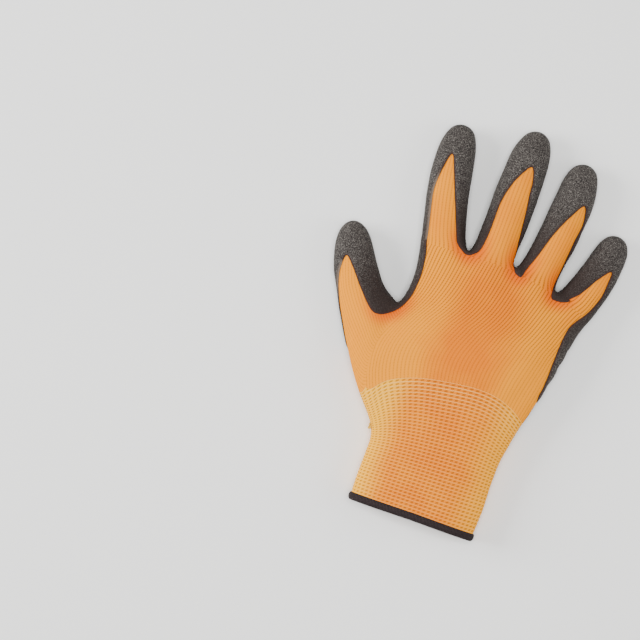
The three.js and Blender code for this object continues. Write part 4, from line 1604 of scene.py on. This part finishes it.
@dataclass
class OverlockHem:
    """The oversewn hem: a ring that wraps the raw edge, with every turn of its thread as a ridge."""

    surface: KnitSurface
    thread_mm: float = 0.95
    samples_per_thread: int = 5
    ridge: float = 0.14
    slant: float = 1.1
    jag: float = 0.22
    jag_power: int = 6
    wave_power: float = 0.7
    swell_from: float = 0.6
    jag_from: float = 0.5
    wall_middle: float = -0.55
    direction_steps: int = 4
    section: tuple[tuple[float, float, float], ...] = (
        # Out from the knit surface, up from the hem's foot, and how much of the ridge shows
        (0.2, 4.95, 0.5), (0.75, 4.85, 1.0), (1.15, 4.4, 1.0), (1.38, 3.7, 1.0), (1.45, 2.9, 1.0),
        (1.4, 2.1, 1.0), (1.2, 1.3, 1.0), (0.8, 0.65, 1.0), (0.25, 0.2, 1.0), (-0.55, 0.0, 1.0),
        (-1.35, 0.2, 1.0), (-1.9, 0.65, 1.0), (-2.3, 1.3, 1.0), (-2.5, 2.1, 1.0), (-2.55, 2.9, 1.0),
        (-2.48, 3.7, 1.0), (-2.25, 4.4, 1.0), (-1.85, 4.85, 1.0), (-1.3, 4.95, 0.5),
        (-1.2, 4.4, 0.0), (-1.2, 1.2, 0.0), (0.1, 1.2, 0.0), (0.1, 4.4, 0.0),
    )

    def _stations(self) -> tuple[np.ndarray, np.ndarray]:
        """Returns evenly spaced points round the rim and the outward direction at each."""
        ring = self.surface.rim()
        closed = np.vstack([ring, ring[:1]])
        steps = np.linalg.norm(np.diff(closed, axis=0), axis=1)
        length = steps.sum()
        threads = round(length / self.thread_mm)
        count = threads * self.samples_per_thread
        marks = np.concatenate([[0.0], np.cumsum(steps)])
        wanted = np.arange(count) * length / count
        points = np.column_stack([np.interp(wanted, marks, closed[:, axis]) for axis in range(3)])
        steps_off = self.direction_steps
        along = np.roll(points, -steps_off, axis=0) - np.roll(points, steps_off, axis=0)
        outward = np.column_stack([-along[:, 2], np.zeros(count), along[:, 0]])
        outward /= np.linalg.norm(outward, axis=1)[:, None]
        return points, outward

    def build(self) -> None:
        """Builds and dresses the hem."""
        points, outward = self._stations()
        count = len(points)
        turn = 2 * np.pi * np.arange(count) / self.samples_per_thread
        places = []
        ridges = []
        height = self.surface.sizes.hem_height
        for out, up, share in self.section:
            phase = turn + 2 * np.pi * self.slant * up / height
            wave = np.abs(np.sin(phase / 2)) ** self.wave_power
            swell = self.ridge * share * (wave - self.swell_from)
            lean = 1.0 if out > self.wall_middle else -1.0
            top = self.jag * share * (up / height) ** self.jag_power * (wave - self.jag_from)
            place = points + outward * (out + lean * swell)[:, None]
            place[:, 1] = up + top + self.surface.sizes.hem_rise(points[:, 0])
            place[:, 2] = np.maximum(place[:, 2], 0.0)
            places.append(place)
            ridges.append(wave)
        rows = len(self.section)
        vertices = np.stack(places, axis=1).reshape(-1, 3)
        ridge_values = np.stack(ridges, axis=1).ravel()
        faces = []
        for station in range(count):
            here, there = station * rows, ((station + 1) % count) * rows
            for row in range(rows):
                following = (row + 1) % rows
                faces.append((here + row, here + following, there + following, there + row))
        mesh = bpy.data.meshes.new("hem_overlock_thread")
        mesh.from_pydata(self.surface.own.to_row(vertices), [], faces)
        write_attribute(mesh, "ridge", ridge_values)
        piece = add_object("hem_overlock_thread", mesh)
        smooth_by_angle(piece, 80)
        dress(piece, OverlockThread().material(), ("hem_overlock",))


@dataclass
class YarnKnot:
    """The small knot where the cuff's first yarn is tied off, on its thumb side."""

    surface: KnitSurface
    middle: tuple[float, float, float] = (-43.3, 50.2, 14.0)
    yarn: float = 0.5
    steps: int = 48
    breadth: float = 0.6
    loop: float = 0.7

    def build(self) -> None:
        """Builds and dresses the knot."""
        curve = bpy.data.curves.new("yarn_knot", "CURVE")
        curve.dimensions = "3D"
        curve.bevel_depth = self.yarn * MM
        curve.bevel_resolution = 3
        curve.use_fill_caps = True
        loops = curve.splines.new("POLY")
        loops.points.add(self.steps - 1)
        loops.use_cyclic_u = True
        for step, point in enumerate(loops.points):
            angle = 2 * math.pi * step / self.steps
            spot = np.array([(
                self.middle[0] + math.sin(3 * angle) * self.breadth,
                self.middle[1] + (math.sin(angle) + 2 * math.sin(2 * angle)) * self.loop,
                self.middle[2] + (math.cos(angle) - 2 * math.cos(2 * angle)) * self.loop,
            )])
            point.co = (*self.surface.own.to_row(spot)[0], 1.0)
        piece = add_object("yarn_knot", curve)
        select_only(piece)
        bpy.ops.object.convert(target="MESH")
        bpy.ops.object.shade_smooth()
        dress(piece, PlainYarn().material())


@dataclass(frozen=True)
class Softbox:
    """A square light: its place across and up the picture and its height in metres, and its watts."""

    name: str
    place: Share
    height: float
    power: float


SOFTBOXES = (
    Softbox(name="key_softbox", place=(-1.5, 0.4), height=0.8, power=36.0),
    Softbox(name="fill_softbox", place=(1.3, -0.2), height=0.9, power=9.0),
    Softbox(name="overhead_softbox", place=(0.0, 0.0), height=2.0, power=40.0),
)


@dataclass
class Studio:
    """The pale floor, the soft lights and the camera straight above the glove."""

    own: OwnFrame
    roll: float = 18.2
    view_width: float = 404.16
    centre: Share = (-94.13, 103.42)
    height: float = 2200.0
    mid_depth: float = 12.0
    sensor: float = 36.0
    floor_size: float = 6.0
    softbox_size: float = 0.9
    sky: str = "#FFFFFF"
    sky_strength: float = 0.36
    far_clip: float = 20.0

    def _light(self, softbox: Softbox) -> None:
        """Adds a softbox that faces the glove."""
        data = bpy.data.lights.new(softbox.name, "AREA")
        data.size = self.softbox_size
        data.energy = softbox.power
        light = add_object(softbox.name, data)
        turn = Matrix.Rotation(math.radians(self.roll), 3, "Z")
        light.location = turn @ Vector((*softbox.place, softbox.height))
        light.rotation_euler = light.location.to_track_quat("Z", "Y").to_euler()

    def build(self) -> None:
        """Builds the floor, the lights, the world and the camera."""
        bpy.ops.mesh.primitive_plane_add(size=self.floor_size, location=(0, 0, 0))
        floor = bpy.context.object
        floor.name = "floor"
        floor.data.materials.append(WhiteBoard().material())
        floor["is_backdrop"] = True
        for softbox in SOFTBOXES:
            self._light(softbox)
        world = bpy.data.worlds.new("studio")
        world.use_nodes = True
        background = world.node_tree.nodes["Background"]
        background.inputs["Color"].default_value = linear_colour(self.sky)
        background.inputs["Strength"].default_value = self.sky_strength
        bpy.context.scene.world = world
        data = bpy.data.cameras.new("camera")
        data.sensor_width = self.sensor
        data.lens = self.sensor * (self.height - self.mid_depth) / self.view_width
        data.clip_end = self.far_clip
        camera = add_object("camera", data)
        spot = self.own.to_row(np.array([(*self.centre, self.height)]))[0]
        camera.location = Vector(spot)
        camera.rotation_euler = (0.0, 0.0, math.radians(self.roll))
        bpy.context.scene.camera = camera


def corners(bounds: tuple[Vector, Vector]) -> list[list[float]]:
    """Returns a box's two corners as plain lists."""
    return [[float(value) for value in corner] for corner in bounds]


def main() -> None:
    """Builds the glove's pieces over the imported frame, then the studio."""
    logging.basicConfig(level=logging.INFO, format="%(name)s: %(message)s")
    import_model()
    packed_box = corners(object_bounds())
    select_only(None)
    sizes = GloveSizes()
    coat = CoatReach(sizes)
    surface = KnitSurface(sizes)
    KnitLiner(surface, coat).build()
    LatexCoat(surface, coat).build()
    OverlockHem(surface).build()
    YarnKnot(surface).build()
    Studio(surface.own).build()
    surface.remove()
    boxes = {"packed": packed_box, "dressed": corners(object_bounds())}


if __name__ == "__main__":
    main()
